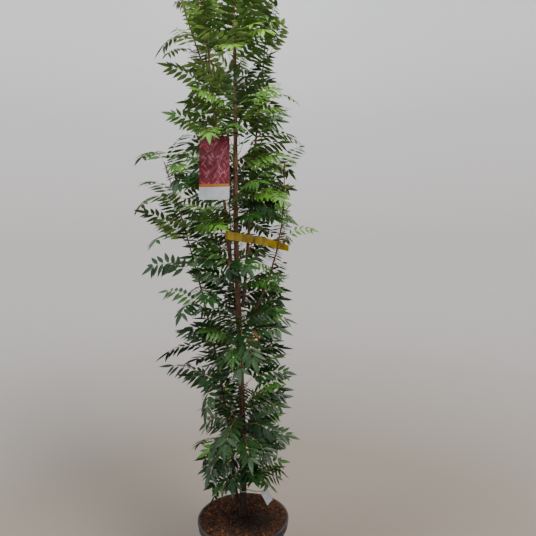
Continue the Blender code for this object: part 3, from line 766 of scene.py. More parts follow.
def reachAt(rows, x, z):  # how far a table of left and right reaches goes at a height, on the side of x
    height = z - ground
    above = next((i for i, row in enumerate(rows) if row[0] > height), len(rows) - 1)
    low, high = rows[max(above - 1, 0)], rows[above]
    share = min(1.0, max(0.0, (height - low[0]) / (high[0] - low[0]))) if above else 0.0
    side = 1 if x < 0 else 2
    return low[side] + (high[side] - low[side]) * share


def inOutline(points):
    for point in points:
        x, z = seenAt(point)
        if z < growth["lowestSeen"] or abs(x) > reachAt(outline, x, z) + outlineSlack:
            return False
    return True


def cellsOf(vertices, faces):  # the small squares of the front view that a leaf's blades cover
    cell = growth["cellMm"] / 1000
    cells = set()
    for face in faces[:-1]:
        foot, left, tip, right = (vertices[k] for k in face)
        for along in (0.25, 0.5, 0.75):
            middle = foot.lerp(tip, along)
            for hand in (left, right):
                x, z = seenAt(middle.lerp(hand, 0.5))
                cells.add((round(x / cell), round(z / cell)))
    return cells


def newCover(cells, grown):  # how much a leaf would add, the room near the stems counting most
    cell = growth["cellMm"] / 1000
    total = 0.0
    for x, z in cells - grown["cells"]:
        inside = abs(x * cell) < reachAt(denseMiddle, x, z * cell)
        total += 1.0 if inside else growth["outerWeight"]
    return total


def turnedOut(leaf, amount):  # rolls the blade so that its upper side looks away from the stems
    points = stalkPoints(leaf, 3)
    along = (points[-1] - points[0]).normalized()
    level = across(along, 0)
    outward = Vector((points[1].x, points[1].y, 0))
    flat = 1 - growth["frontFlat"] * abs(along.y)
    hand = 1 if outward.dot(level) > 0 else -1
    return dict(leaf, roll=0.5 * leaf["roll"] + hand * amount * flat)


def spurPath(limb, height, azimuth, length):
    place, along, radius = seatOn(limb, height)
    out = heading(azimuth, 0)
    out = (out - along * out.dot(along)).normalized()
    start = place + out * (radius + clearance)
    elbow = start + out * (growth["spurElbow"] * length)
    end = elbow + (out + along * 1.1).normalized() * ((1 - growth["spurElbow"]) * length)
    return [start, elbow, end], out


def tipPath(limb, height):
    place, along, _ = seatOn(limb, height)
    start = place + along * clearance
    return [start, start + along * growth["spurLength"]], along


def leafOf(plan, start, azimuth, height, steeper, chance):
    lift = min(1.0, height / trunkPlan["rise"])
    rise = growth["lowRise"] + (growth["highRise"] - growth["lowRise"]) * lift
    droop = growth["lowDroop"] + (growth["highDroop"] - growth["lowDroop"]) * lift
    return dict(
        start=start,
        azimuth=azimuth + chance.uniform(-growth["azimuthVaries"], growth["azimuthVaries"]),
        rise=rise + steeper + chance.uniform(-growth["riseVaries"], growth["riseVaries"]),
        droop=droop + chance.uniform(-growth["droopVaries"], growth["droopVaries"]),
        swing=chance.uniform(-growth["swingVaries"], growth["swingVaries"]),
        roll=chance.uniform(-growth["rollVaries"], growth["rollVaries"]),
        length=plan["length"] * chance.uniform(growth["shortest"], growth["longest"]),
    )


def limbTop(limb):
    return trunkPlan["rise"] if limb == "trunk" else boughPlans[limb]["foot"] + boughPlans[limb]["rise"]


def massTry(limb, i, count, corners, chance):  # one try at a mass, with the leaves that its solid has too
    plan = spurPlans[limb]
    top = limbTop(limb)
    atTip = i == count
    shift = growth["spurShift"]
    height = plan["first"] + plan["spacing"] * (i + chance.uniform(-shift, shift))
    azimuth = plan["azimuths"][i % len(plan["azimuths"])]
    azimuth += chance.uniform(-growth["spurTurn"], growth["spurTurn"])
    if atTip:
        height = top
        path, out = tipPath(limb, height)
    else:
        path, out = spurPath(limb, height, azimuth, growth["spurLength"])
    leaves = []
    number = len(growth["tipSteeper"]) if atTip else plan["leaves"]
    fan = growth["tipFan"] if atTip else plan["fan"]
    for k in range(number):
        start = path[-2].lerp(path[-1], growth["leafSeat"] - growth["leafSeatStep"] * k)
        turn = azimuth + fan * (k - (number - 1) / 2)
        steeper = growth["tipSteeper"][k] if atTip else 0
        tries = [leafOf(plan, start, turn, height, steeper, chance) for _ in range(growth["tries"])]
        if corners:
            nearest = min(tries, key=lambda leaf: corners.find(solidTip(leaf))[2])
            if corners.find(solidTip(nearest))[2] < leafForm["solidMatch"]:
                leaves.append(nearest)
    return dict(path=path, out=out, azimuth=azimuth, height=height, limit=top, leaves=leaves, sides=[])


def cornersOf(node):
    if node not in nodes:
        return None
    vertices = nodes[node].data.vertices
    corners = KDTree(len(vertices))
    for k, vertex in enumerate(vertices):
        corners.insert(vertex.co, k)
    corners.balance()
    return corners


def solidMasses(limb):  # the masses on a limb: of each, the try that its solid took
    plan = spurPlans[limb]
    chance = random.Random(growth["seed"] + list(spurPlans).index(limb))
    count = round((limbTop(limb) - plan["first"]) / plan["spacing"])
    masses = []
    for i in range(count + 1):
        node = f"foliage_{limb.replace('bough_', '')}_{i + 1:02d}"
        corners = cornersOf(node)
        tries = [massTry(limb, i, count, corners, chance) for _ in range(growth["massTries"])]
        if corners:
            masses.append(dict(max(tries, key=lambda mass: len(mass["leaves"])), node=node))
    return masses


def bladeTree(vertices, faces):
    return BVHTree.FromPolygons([tuple(v) for v in vertices], faces, epsilon=0.0)


def nodeTree(*names):
    vertices, faces = [], []
    for name in names:
        base = len(vertices)
        vertices += [tuple(v.co) for v in nodes[name].data.vertices]
        faces += [tuple(base + k for k in polygon.vertices) for polygon in nodes[name].data.polygons]
    return BVHTree.FromPolygons(vertices, faces, epsilon=0.0)


def hidesLabel(points):  # in front of a card's face, as the eye sees it
    for low, high, front in labelFaces:
        for point in points:
            x, z = seenAt(point)
            if low[0] < x < high[0] and low[1] < z < high[1] and point.y < front:
                return True
    return False


def inBox(points):
    slack = growth["boxSlack"]
    return all(cadBox[0][k] - slack < point[k] < cadBox[1][k] + slack for point in points for k in range(3))


def moreLeaves(limb, mass, grown, limbTree, chance, atFoot=False):  # short spurs in the room that a mass has
    plan = spurPlans[limb]
    number = growth["sideSpurs"]["trunk" if limb == "trunk" else "bough"]
    turnBy = growth["sideTurn"]
    if atFoot:
        number, turnBy = growth["footSpurs"], growth["footTurn"]
    home = mass["path"][0]
    for side in range(number):
        height = mass["height"] + plan["spacing"] * ((side + chance.uniform(0.1, 0.9)) / number - 0.5)
        height += 0.5 * plan["spacing"] if atFoot else 0.0
        height = min(height, mass["limit"])
        turn = mass["azimuth"] + chance.uniform(-turnBy, turnBy)
        path, _ = spurPath(limb, height, turn, growth["sideLength"])
        kept = 0
        seat, seatStep = growth["sideSeat"]
        for k in range(growth["sideLeaves"]):
            start = path[-2].lerp(path[-1], seat - seatStep * k)
            best, bestCover, bestBlades = None, growth["leastCover"], None
            for _ in range(growth["sideTries"]):
                spread = (k - 0.5) * growth["sideFan"] + chance.uniform(*growth["sideSpread"])
                steeper = chance.uniform(*growth["sideSteeper"])
                leaf = leafOf(plan, start, turn + spread, height, steeper, chance)
                leaf = turnedOut(leaf, chance.uniform(*growth["turnOut"]))
                leaf["droop"] *= growth["sideDroop"]
                vertices, faces, tips = roughLeaf(leaf)
                reach = leaf["length"] * growth["longest"] + growth["spurLength"]
                if any((tip - home).dot(mass["out"]) < -growth["spaceBehind"] * reach for tip in tips):
                    continue
                if not inOutline(tips) or not inBox(vertices) or hidesLabel(vertices):
                    continue
                cover = newCover(cellsOf(vertices, faces), grown)
                if cover <= bestCover:
                    continue
                blades = bladeTree(vertices, faces)
                if limbTree.overlap(blades) or grown["tree"].overlap(blades):
                    continue
                best, bestCover, bestBlades = leaf, cover, (vertices, faces, tips)
            if best:
                kept += 1
                mass["leaves"].append(best)
                remember(grown, *bestBlades)
        if kept:
            mass["sides"].append(path)


def remember(grown, vertices, faces, tips):
    base = len(grown["vertices"])
    grown["cells"] |= cellsOf(vertices, faces)
    grown["vertices"] += vertices
    grown["faces"] += [tuple(base + k for k in face) for face in faces]
    grown["tree"] = bladeTree(grown["vertices"], grown["faces"])


def openUp(leaf, grown, limbTree, chance):  # a leaf of the solids, turned out as far as its neighbours allow
    amount = chance.uniform(*growth["turnOut"])
    for step in growth["turnSteps"]:
        turned = turnedOut(leaf, amount * step)
        vertices, faces, _ = roughLeaf(turned)
        if inBox(vertices) and not hidesLabel(vertices):
            blades = bladeTree(vertices, faces)
            if not limbTree.overlap(blades) and not (grown["tree"] and grown["tree"].overlap(blades)):
                return turned
    return leaf


def leafletWidth(share):
    widest = leafForm["widest"]
    if share < widest:
        return 1 - (1 - share / widest) ** 2.0
    return 1 - ((share - widest) / (1 - widest)) ** 1.75


def addLeaflet(blade, place, direction, up, length, chance, top):
    teeth = leafForm["teeth"]
    side = direction.cross(up).normalized()
    lift = side.cross(direction)
    width = 0.5 * leafForm["width"] * length
    curl = length * chance.uniform(*leafForm["curl"])
    bend = length * chance.uniform(-1, 1) * leafForm["sideBend"]

    def on(share, hand, wide):
        reach = width * wide
        drop = -curl * share**2 + leafForm["fold"] * reach * (1.0 - 0.5 * share)
        return place + direction * (length * share) + lift * drop + side * (hand * reach + bend * share**2)

    base = len(blade["vertices"])
    vertices, uvs = [], []

    def put(point, u, v):
        vertices.append(point)
        uvs.append((u, v))
        return base + len(vertices) - 1

    ridge = [put(on(i / teeth, 0, 0), i / teeth, 0.5) for i in range(teeth + 1)]
    keel = [ridge[0]]
    for i in range(1, teeth):
        keel.append(put(on(i / teeth, 0, 0) - lift * leafForm["thickness"], i / teeth, 0.5))
    keel.append(ridge[-1])
    for hand in (-1, 1):
        margin = [[ridge[0]]]
        for i in range(teeth):
            point = (i + leafForm["toothLean"]) / teeth
            wide = leafletWidth(point) * (1 + leafForm["toothDepth"])
            margin[-1].append(put(on(point, hand, wide), point, 0.5 + 0.5 * hand * wide))
            notch = (i + 1) / teeth
            wide = leafletWidth(notch) * (1 - leafForm["toothDepth"])
            end = ridge[-1] if i == teeth - 1 else put(on(notch, hand, wide), notch, 0.5 + 0.5 * hand * wide)
            margin[-1].append(end)
            margin.append([end])
        for i in range(teeth):
            rim = margin[i]
            upper = [ridge[i], *[k for k in rim if k != ridge[i]], ridge[i + 1]]
            upper = [k for j, k in enumerate(upper) if k != upper[j - 1]]
            lower = [keel[i], *[k for k in rim if k != keel[i]], keel[i + 1]]
            lower = [k for j, k in enumerate(lower) if k != lower[j - 1]]
            blade["faces"].append(upper if hand > 0 else upper[::-1])
            blade["faces"].append(lower[::-1] if hand > 0 else lower)
            blade["kinds"] += [top, top + 1]
    blade["vertices"] += vertices
    blade["uvs"] += uvs


def addTube(parts, points, radii, sides, kind):
    base = len(parts["vertices"])
    level = across((points[1] - points[0]).normalized(), 0)
    for i, (point, radius) in enumerate(zip(points, radii)):
        along = (points[min(i + 1, len(points) - 1)] - points[max(i - 1, 0)]).normalized()
        level = (level - along * level.dot(along)).normalized()
        up = level.cross(along)
        for k in range(sides):
            turn = 2 * math.pi * k / sides
            parts["vertices"].append(point + (level * math.cos(turn) + up * math.sin(turn)) * radius)
            parts["uvs"].append((i / (len(points) - 1), k / sides))
    for i in range(len(points) - 1):
        for k in range(sides):
            a, b = base + i * sides + k, base + i * sides + (k + 1) % sides
            parts["faces"].append([a, a + sides, b + sides, b])
            parts["kinds"].append(kind)
    parts["faces"].append([base + k for k in range(sides)])
    parts["faces"].append([base + (len(points) - 1) * sides + k for k in reversed(range(sides))])
    parts["kinds"] += [kind, kind]


def addLeaf(leaf, blade, stalks, labelTree, chance, tint):
    points = stalkPoints(leaf, leafForm["stalkSteps"])
    last = len(points) - 1
    radii = [leafForm["stalkRadius"] * (1.0 - 0.45 * i / last) for i in range(last + 1)]
    radii[0] *= 1.5
    endShare = leafForm["lastPair"] + 0.02
    kept = [p for i, p in enumerate(points) if i / last <= endShare]
    addTube(stalks, kept, radii[: len(kept)], leafForm["stalkSides"], tint["stalk"])
    pairs = leafForm["pairs"] - sum(leaf["length"] < short for short in leafForm["short"])
    for pair in range(pairs):
        share = pair / (pairs - 1)
        station = stationAt(share)
        for hand in (-1, 1):
            shift = chance.uniform(-0.008, 0.008)
            place, along = pointOn(points, station + shift)
            level = across(along, leaf["roll"])
            up = level.cross(along)
            length = leafForm["leaflet"] * leaf["length"] * leafletSize(share) * chance.uniform(0.9, 1.08)
            hang = leafForm["hang"] + leaf["hang"] + chance.uniform(-6, 6)
            splayed = leafletDirection(along, level, up, share, hand, hang)
            direction = (splayed + along * chance.uniform(-0.08, 0.08)).normalized()
            face = Matrix.Rotation(math.radians(chance.uniform(-11, 11)), 3, direction) @ up
            seat = place + direction * leafForm["stalkRadius"]
            placeLeaflet(blade, seat, direction, face, length, labelTree, chance, tint["top"])
    place, along = pointOn(points, endShare)
    up = across(along, leaf["roll"]).cross(along)
    length = leafForm["leaflet"] * leaf["length"] * leafForm["endLeaflet"]
    placeLeaflet(blade, place, along, up, length, labelTree, chance, tint["top"])


def placeLeaflet(blade, place, direction, up, length, labelTree, chance, top):
    side = direction.cross(up).normalized() * (0.5 * leafForm["width"] * length)
    start = place + direction * (0.12 * length)
    corners = [start, place + direction * (0.5 * length) - side, place + direction * length]
    corners.append(place + direction * (0.5 * length) + side)
    if labelTree.overlap(bladeTree(corners, [(0, 1, 2, 3)])):
        return
    x, z = seenAt(corners[1].lerp(corners[3], 0.5))
    for atX, atZ, reach, tint in turnedLeaflets:
        if math.hypot(x - atX, z - atZ) < reach:
            top = 2 * list(leafTints).index(tint)
    addLeaflet(blade, place, direction, up, length, chance, top)


# Leaf colours: dark and glossy low down and near the stems, paler towards the top and the outside, partly
# fresher young growth and partly painted light: painted shade low down and inside the crown, and painted
# light shining through the upper leaves. Each has a paler underside, partly its own colour and partly painted
# light shining through it.
# The first five are dealt out by height, the last two to the few leaflets that have turned
leafTints = {
    "deep": ("#0E270D", "#243F1E"),
    "dark": ("#183511", "#3A562C"),
    "mid": ("#2B4F18", "#547034"),
    "fresh": ("#446A24", "#728E46"),
    "young": ("#628A34", "#92B060"),
    "red": ("#6E1E26", "#8A4A48"),
    "withered": ("#6E4A32", "#80604A"),
}
turnedLeaflets = (  # place in the front view, reach and tint
    (0.172, 0.960, 0.020, "red"),
    (0.029, 1.144, 0.012, "withered"),
    (0.021, 0.987, 0.012, "withered"),
    (0.048, 0.856, 0.014, "withered"),
)
stalkTints = {"green": "#76843A", "reddish": "#7E5034"}
leafLook = {
    "top": (1.5, 0.34),  # how much lighter the veins are than the blade, and its roughness
    "underside": (1.14, 0.62),
    "toneMm": 30,
    "midribEdge": (0.045, 0.01),
    "veins": 9,
    "veinLean": -0.45,
    "veinWeight": 0.3,
    "byHeight": 0.52,
    "fullHeight": 1.5,
    "byReach": 0.08,
    "fullReach": 0.25,
    "tintVaries": (-0.13, 0.41),
    "reddishShare": 0.3,
}


def leafMaterial(name, colour, veinShare, roughness):
    # rowan leaflet: thin waxy blade, satin above and matt below, with a pale midrib and faint side veins
    material, tree, shader = newMaterial(name, roughness, 1.38)
    place = addNode(tree, "ShaderNodeUVMap", {"uv_map": "leafMap"})
    parts = addNode(tree, "ShaderNodeSeparateXYZ", {"Vector": place.outputs["UV"]})
    side = reckoned(tree, "ABSOLUTE", reckoned(tree, "SUBTRACT", parts.outputs["Y"], 0.5))
    midrib = ranged(tree, side, *leafLook["midribEdge"])
    leaning = reckoned(tree, "MULTIPLY_ADD", side, leafLook["veinLean"], parts.outputs["X"])
    ridges = reckoned(tree, "SINE", reckoned(tree, "MULTIPLY", leaning, 2 * math.pi * leafLook["veins"]))
    faint = reckoned(tree, "MULTIPLY", ranged(tree, ridges, 0.6, 1.0), leafLook["veinWeight"])
    lines = reckoned(tree, "MAXIMUM", faint, midrib)
    tone = noiseField(tree, leafLook["toneMm"], 3)
    body = ramp(tree, tone, [(0.3, shaded(colour, 0.72)), (0.7, shaded(colour, 1.28))])
    tree.links.new(blended(tree, lines, body, linear(shaded(colour, veinShare))), shader.inputs["Base Color"])
    bumpFrom(tree, shader, ridges, 0.25, 0.5)
    return material


def shaded(hexColour, share):
    channels = [min(255, round(int(hexColour[i : i + 2], 16) * share)) for i in (1, 3, 5)]
    return "#" + "".join(f"{c:02X}" for c in channels)


def leafMaterials():
    made = []
    for name, colours in leafTints.items():
        for side, colour in zip(("top", "underside"), colours):
            made.append(leafMaterial(f"rowan leaf {side} {name}", colour, *leafLook[side]))
    return made


def stalkMaterials():
    made = []
    for name, colour in stalkTints.items():
        # smooth soft stalk, lightly waxed
        material, tree, shader = newMaterial(f"leaf stalk {name}", 0.5, 1.42)
        stops = [(0.3, shaded(colour, 0.85)), (0.7, shaded(colour, 1.15))]
        tree.links.new(ramp(tree, noiseField(tree, 12, 2), stops), shader.inputs["Base Color"])
        made.append(material)
    return made


def tintOf(leaf, chance):
    order = list(leafTints)
    greens = order.index("young") + 1
    # partly painted light: leaves low down and near the stems get darker tints as painted shade, leaves high
    # up paler ones as painted light through them; partly fresher growth at the top
    height = min(1.0, (leaf["start"].z - ground) / leafLook["fullHeight"]) ** 1.6
    outer = math.hypot(leaf["start"].x, leaf["start"].y) / leafLook["fullReach"]
    share = leafLook["byHeight"] * height + leafLook["byReach"] * outer
    share += chance.uniform(*leafLook["tintVaries"])
    top = 2 * min(greens - 1, max(0, int(share * greens)))
    return {"top": top, "stalk": 1 if chance.random() < leafLook["reddishShare"] else 0}


def makeFoliage():
    tops, stalkKinds = leafMaterials(), stalkMaterials()
    spurBark = bpy.data.materials["smooth young rowan bark"]
    limbTree = nodeTree("trunk", *boughPlans, "compost", "pot", "hang_tag", "loop_label", "pot_label")
    labelTree = nodeTree("hang_tag", "loop_label", "pot_label", "compost", "pot")
    chance = random.Random(growth["sideSeed"])
    grown = {"vertices": [], "faces": [], "cells": set(), "tree": None}
    masses = {limb: solidMasses(limb) for limb in spurPlans}
    for limb in masses:
        for mass in masses[limb]:
            own = [leaf for leaf in mass["leaves"] if not hidesLabel(roughLeaf(leaf)[0])]
            mass["leaves"] = [openUp(leaf, grown, limbTree, chance) for leaf in own]
            for leaf in mass["leaves"]:
                remember(grown, *roughLeaf(leaf))
    for limb in masses:
        for mass in masses[limb]:
            moreLeaves(limb, mass, grown, limbTree, chance)
    moreLeaves("trunk", masses["trunk"][0], grown, limbTree, chance, atFoot=True)
    # the trunk's masses in two pieces
    half = len(masses["trunk"]) // 2
    groups = {"trunk_low": masses["trunk"][:half], "trunk_high": masses["trunk"][half:]}  # each small enough
    groups.update({limb.replace("bough_", ""): masses[limb] for limb in boughPlans})
    total = 0
    for short, group in groups.items():
        blade, stalks, spurs = newParts(), newParts(), newParts()
        for mass in group:
            addSpur(spurs, mass["path"], 1.0)
            for path in mass["sides"]:
                addSpur(spurs, path, growth["sideScale"])
            for leaf in mass["leaves"]:
                leaf["hang"] = chance.uniform(-8, 10)
                addLeaf(leaf, blade, stalks, labelTree, chance, tintOf(leaf, chance))
                total += 1
        piece = meshPiece("leaves_" + short, blade, tops)
        smoothEdges(piece, 60)
        finished(piece, "leaf", *[mass["node"] for mass in group])
        finished(meshPiece("stalks_" + short, stalks, stalkKinds), "leaf")
        finished(meshPiece("spurs_" + short, spurs, [spurBark]), "bark")
    print("leaves grown:", total)


def addSpur(spurs, path, scale):  # a ringed twig with a bud on its end
    points = []
    for a, b in zip(path, path[1:]):
        points += [a.lerp(b, k / 5) for k in range(5)]
    points.append(path[-1])
    count = len(points) - 1
    radii = []
    for i in range(count + 1):
        ring = 1.14 if i % 3 == 2 else 1.0
        radii.append(growth["spurRadius"] * scale * (1.25 - 0.5 * i / count) * ring)
    addTube(spurs, points, radii, 8, 0)
    along = (points[-1] - points[-2]).normalized()
    bud = [points[-1] + along * (0.009 * scale * k / 5) for k in range(6)]
    addTube(spurs, bud, [scale * radius for radius in (0.0011, 0.0019, 0.0022, 0.0019, 0.0012, 0.0003)], 8, 0)


makeFoliage()
print("foliage done")


# Pot: a shell of dark plastic with a rolled rim band, turned to the sizes of the solid one
pot = {
    "height": 0.260,
    "rim": 0.150,
    "bandHeight": 0.026,
    "bandStep": 0.010,
    "lip": 0.004,
    "foot": 0.114,
    "wall": 0.0022,
    "floor": 0.004,
    "sides": 96,
    "drains": 6,
    "drainRadius": 0.008,
    "drainCircle": 0.088,
    "drainTurn": 0.35,
    "drainSides": 24,
    "wallRing": 0.09,  # height of a ring in the middle of the wall
    "smallRound": 0.0008,
    "smearMm": 38,
    "scuffMm": 5,
    "dustFrom": (0.2545, 0.2595),
    "dustShare": 0.85,
    "colour": "#171B21",
    "dustColour": "#3E3024",
}


def wallRadius(height):
    return pot["foot"] + (pot["rim"] - pot["bandStep"] - pot["foot"]) * height / pot["height"]


mouthRadius = pot["rim"] - pot["lip"] - pot["wall"]


def turned(name, profile, sides):  # a closed turned shape: one ring is pulled up through the profile
    deselectAll()
    radius, height = profile[0]
    bpy.ops.mesh.primitive_circle_add(
        vertices=sides, radius=radius, fill_type="NGON", location=(0, 0, height)
    )
    bpy.ops.object.transform_apply(location=True)
    obj = bpy.context.object
    bpy.ops.object.mode_set(mode="EDIT")
    bpy.ops.mesh.select_all(action="SELECT")
    for (r0, z0), (r1, z1) in zip(profile, profile[1:]):
        bpy.ops.mesh.extrude_region_move(TRANSFORM_OT_translate={"value": (0, 0, z1 - z0)})
        bpy.ops.transform.resize(value=(r1 / r0, r1 / r0, 1), center_override=(0, 0, z1))
    bpy.ops.object.mode_set(mode="OBJECT")
    faceOutward(obj)
    obj.name = name
    return obj


def applyModifier(obj, kind, **values):
    activate(obj)
    modifier = obj.modifiers.new(kind.lower(), kind)
    for key, value in values.items():
        setattr(modifier, key, value)
    bpy.ops.object.modifier_apply(modifier=modifier.name)


def pierce(obj, place, radius, sides):
    deselectAll()
    bpy.ops.mesh.primitive_cylinder_add(vertices=sides, radius=radius, depth=0.02, location=place)
    cutter = bpy.context.object
    applyModifier(obj, "BOOLEAN", object=cutter, solver="EXACT")
    bpy.data.objects.remove(cutter)


def faceOutward(obj):
    activate(obj)
    bpy.ops.object.mode_set(mode="EDIT")
    bpy.ops.mesh.select_all(action="SELECT")
    bpy.ops.mesh.normals_make_consistent(inside=False)
    bpy.ops.object.mode_set(mode="OBJECT")


def potMaterial():
    # injection-moulded polypropylene: dark, satin, dusted with dry compost under the rim and lightly scuffed
    material, tree, shader = newMaterial("moulded polypropylene", 0.4, 1.49)
    smears = noiseField(tree, pot["smearMm"], 5, (1, 1, 0.5))
    scuffs = noiseField(tree, pot["scuffMm"], 4, (1, 1, 3.0))
    high = ranged(tree, objectHeight(tree), *pot["dustFrom"])
    share = reckoned(tree, "MULTIPLY", high, ranged(tree, smears, 0.40, 0.60))
    faint = reckoned(tree, "MULTIPLY", share, pot["dustShare"])
    worn = ramp(tree, scuffs, [(0.4, pot["colour"]), (0.8, shaded(pot["colour"], 1.35))])
    dusty = blended(tree, faint, worn, linear(pot["dustColour"]))
    tree.links.new(dusty, shader.inputs["Base Color"])
    gloss = addNode(tree, "ShaderNodeMapRange", {"Value": smears, "To Min": 0.34, "To Max": 0.62})
    tree.links.new(gloss.outputs["Result"], shader.inputs["Roughness"])
    bumpFrom(tree, shader, scuffs, 0.2, 0.35)
    return material


def makePot():
    band = pot["height"] - pot["bandHeight"]
    lip, rim, top = pot["lip"], pot["rim"], pot["height"]
    profile = [
        (pot["foot"] - lip, 0.0),
        (pot["foot"] - lip * 0.3, lip * 0.3),
        (pot["foot"], lip),
        (wallRadius(pot["wallRing"]), pot["wallRing"]),
        (wallRadius(band - 0.004), band - 0.004),
        (wallRadius(band), band),
        (rim - lip * 1.2, band),
        (rim - lip * 0.8, band + 0.0012),
        (rim - lip * 0.7, top - lip * 1.6),
        (rim, top - lip * 1.25),
        (rim, top - lip * 0.45),
        (rim - lip * 0.15, top - lip * 0.12),
        (rim - lip * 0.5, top),
        (mouthRadius + pot["smallRound"], top),
        (mouthRadius, top - pot["smallRound"]),
        (mouthRadius, band + pot["wall"] + 0.001),
        (mouthRadius - 0.001, band + pot["wall"]),
        (wallRadius(band + pot["wall"]) - pot["wall"], band + pot["wall"]),
        (wallRadius(pot["floor"]) - pot["wall"], pot["floor"]),
    ]
    shell = turned("pot_shell", profile, pot["sides"])
    for i in range(pot["drains"]):
        turn = 2 * math.pi * (i + pot["drainTurn"]) / pot["drains"]
        at = (pot["drainCircle"] * math.cos(turn), pot["drainCircle"] * math.sin(turn), 0.002)
        pierce(shell, at, pot["drainRadius"], pot["drainSides"])
    smoothEdges(shell, 42)
    shell.data.materials.clear()
    shell.data.materials.append(potMaterial())
    finished(settled(shell, "pot_shell"), "dark_plastic", "pot")


makePot()
print("pot done")

# Compost: peat and bark fines, level with the rim and heaped a little round the trunk
compost = {
    "edgeDrop": 0.003,
    "edge": mouthRadius - clearance,
    "ledge": pot["height"] - pot["bandHeight"] + pot["wall"] + clearance,
    "rings": 46,
    "spokes": 132,
    "reliefMm": 4.2,
    "crumbs": 2200,
    "crumbSize": (0.0016, 0.0062),
    "chips": 150,
    "chipSize": (0.005, 0.012),
    "fibres": 150,
    "fibreLength": (0.010, 0.034),
    "fibreRadii": (0.00035, 0.0005, 0.0005, 0.00045, 0.0002),
    "bare": (0.014, 0.004),  # ring round the trunk, and at the pot's wall, that is left free
    "shadedHollowAt": (0.035, -0.035),  # a hollow beside the trunk, darkened with painted shadow of the foliage
    "shadedHollowReach": 0.085,
    "hollowDepth": 0.004,
    "paintedShadowFade": (0.35, 1.25),  # shares of its reach, between which the painted shadow fades
    "seed": 5,
    "darkColour": "#1B0F09",
    "midColour": "#42260F",
    "redColour": "#562F16",
    "dryColour": "#704A28",
    "strawColour": "#8C6E48",
    # painted shadow of the foliage, laid over the soil round the hollow
    "paintedShadowColour": "#6A5C50",
}


def compostHeight(x, y):
    share = max(0.0, 1 - math.hypot(x, y) / compost["edge"])
    dome = compost["edgeDrop"] * math.sin(min(1.0, share * 1.25) * math.pi / 2)
    place = Vector((x, y, 0.0))
    lumps = 0.55 * noise.noise(place * 60) + 0.45 * noise.noise(place * 170) + 0.25 * noise.noise(place * 420)
    fade = min(1.0, share * 9 + 0.25)
    off = math.hypot(x - compost["shadedHollowAt"][0], y - compost["shadedHollowAt"][1]) / compost["shadedHollowReach"]
    hollow = compost["hollowDepth"] * math.exp(-3 * off * off)
    return ground - 0.001 - compost["edgeDrop"] + dome - hollow + compost["reliefMm"] / 1000 * lumps * fade


def soilMaterial(name, colour, other, sizeMm):
    # damp peat compost: crumbly and matt, with painted shadow of the foliage round the hollow beside the
    # trunk
    material, tree, shader = newMaterial(name, 0.92, 1.4)
    grain = noiseField(tree, sizeMm, 6)
    both = reckoned(tree, "MULTIPLY", grain, noiseField(tree, sizeMm * 7, 3))
    body = ramp(tree, ranged(tree, both, 0.14, 0.4), [(0.0, colour), (1.0, other)])
    # painted shadow: darkest at the hollow beside the trunk, fading out between two shares of its reach
    hollow = (*compost["shadedHollowAt"], ground)
    damp = addNode(tree, "ShaderNodeVectorMath", {"operation": "DISTANCE", 0: objectPlace(tree), 1: hollow})
    low, high = (share * compost["shadedHollowReach"] for share in compost["paintedShadowFade"])
    dry = ranged(tree, damp.outputs["Value"], low, high)
    paintedShade = ramp(tree, dry, [(0.0, compost["paintedShadowColour"]), (1.0, "#FFFFFF")])
    tree.links.new(blended(tree, 1.0, body, paintedShade, "MULTIPLY"), shader.inputs["Base Color"])
    bumpFrom(tree, shader, grain, 1.2, 0.8)
    return material


def scatterPlace(chance):
    inner, outer = compost["bare"]
    radius = math.sqrt(chance.uniform(inner**2, (compost["edge"] - outer) ** 2))
    turn = chance.uniform(0, 2 * math.pi)
    return radius * math.cos(turn), radius * math.sin(turn)


def tumbled(chance):
    axis = Vector((chance.uniform(-1, 1), chance.uniform(-1, 1), chance.uniform(-1, 1)))
    return Matrix.Rotation(chance.uniform(0, 2 * math.pi), 3, axis.normalized())


def addCrumb(parts, place, size, chance, kind):  # a small lump of two rings and two poles
    turn = tumbled(chance)
    rows = [(0.0, -1.0, 1), (0.86, -0.5, 5), (0.9, 0.45, 5), (0.0, 1.0, 1)]
    base = len(parts["vertices"])
    for radius, height, number in rows:
        for k in range(number):
            angle = 2 * math.pi * (k + 0.5 * (height > 0)) / number
            point = Vector((radius * math.cos(angle), radius * math.sin(angle), height))
            point = point * chance.uniform(0.7, 1.25)
            point.z *= 0.75
            parts["vertices"].append(place + turn @ point * size)
    for k in range(5):
        n = (k + 1) % 5
        parts["faces"] += [
            [base, base + 1 + n, base + 1 + k],
            [base + 1 + k, base + 1 + n, base + 6 + k],
            [base + 1 + n, base + 6 + n, base + 6 + k],
            [base + 6 + k, base + 6 + n, base + 11],
        ]
        parts["kinds"] += [kind] * 4


def addChip(parts, place, size, chance, kind):  # a flat flake of bark with broken ends
    turn = Matrix.Rotation(chance.uniform(0, 2 * math.pi), 3, "Z")
    turn = turn @ Matrix.Rotation(chance.uniform(-0.6, 0.6), 3, "X")
    turn = turn @ Matrix.Rotation(chance.uniform(-0.5, 0.5), 3, "Y")
    wide, thick = size * chance.uniform(0.22, 0.5), size * chance.uniform(0.07, 0.14)
    flake = [(-1, -0.6), (-0.3, -1), (0.8, -0.8), (1, 0.2), (0.5, 1), (-0.7, 0.8)]
    base = len(parts["vertices"])
    for level in (-1, 1):
        for x, y in flake:
            jitter = chance.uniform(0.75, 1.2)
            point = Vector((0.5 * size * x * jitter, 0.5 * wide * y * jitter, 0.5 * thick * level))
            parts["vertices"].append(place + turn @ point)
    parts["faces"] += [[base + k for k in reversed(range(6))], [base + 6 + k for k in range(6)]]
    parts["faces"] += [[base + k, base + (k + 1) % 6, base + 6 + (k + 1) % 6, base + 6 + k] for k in range(6)]
    parts["kinds"] += [kind] * 8


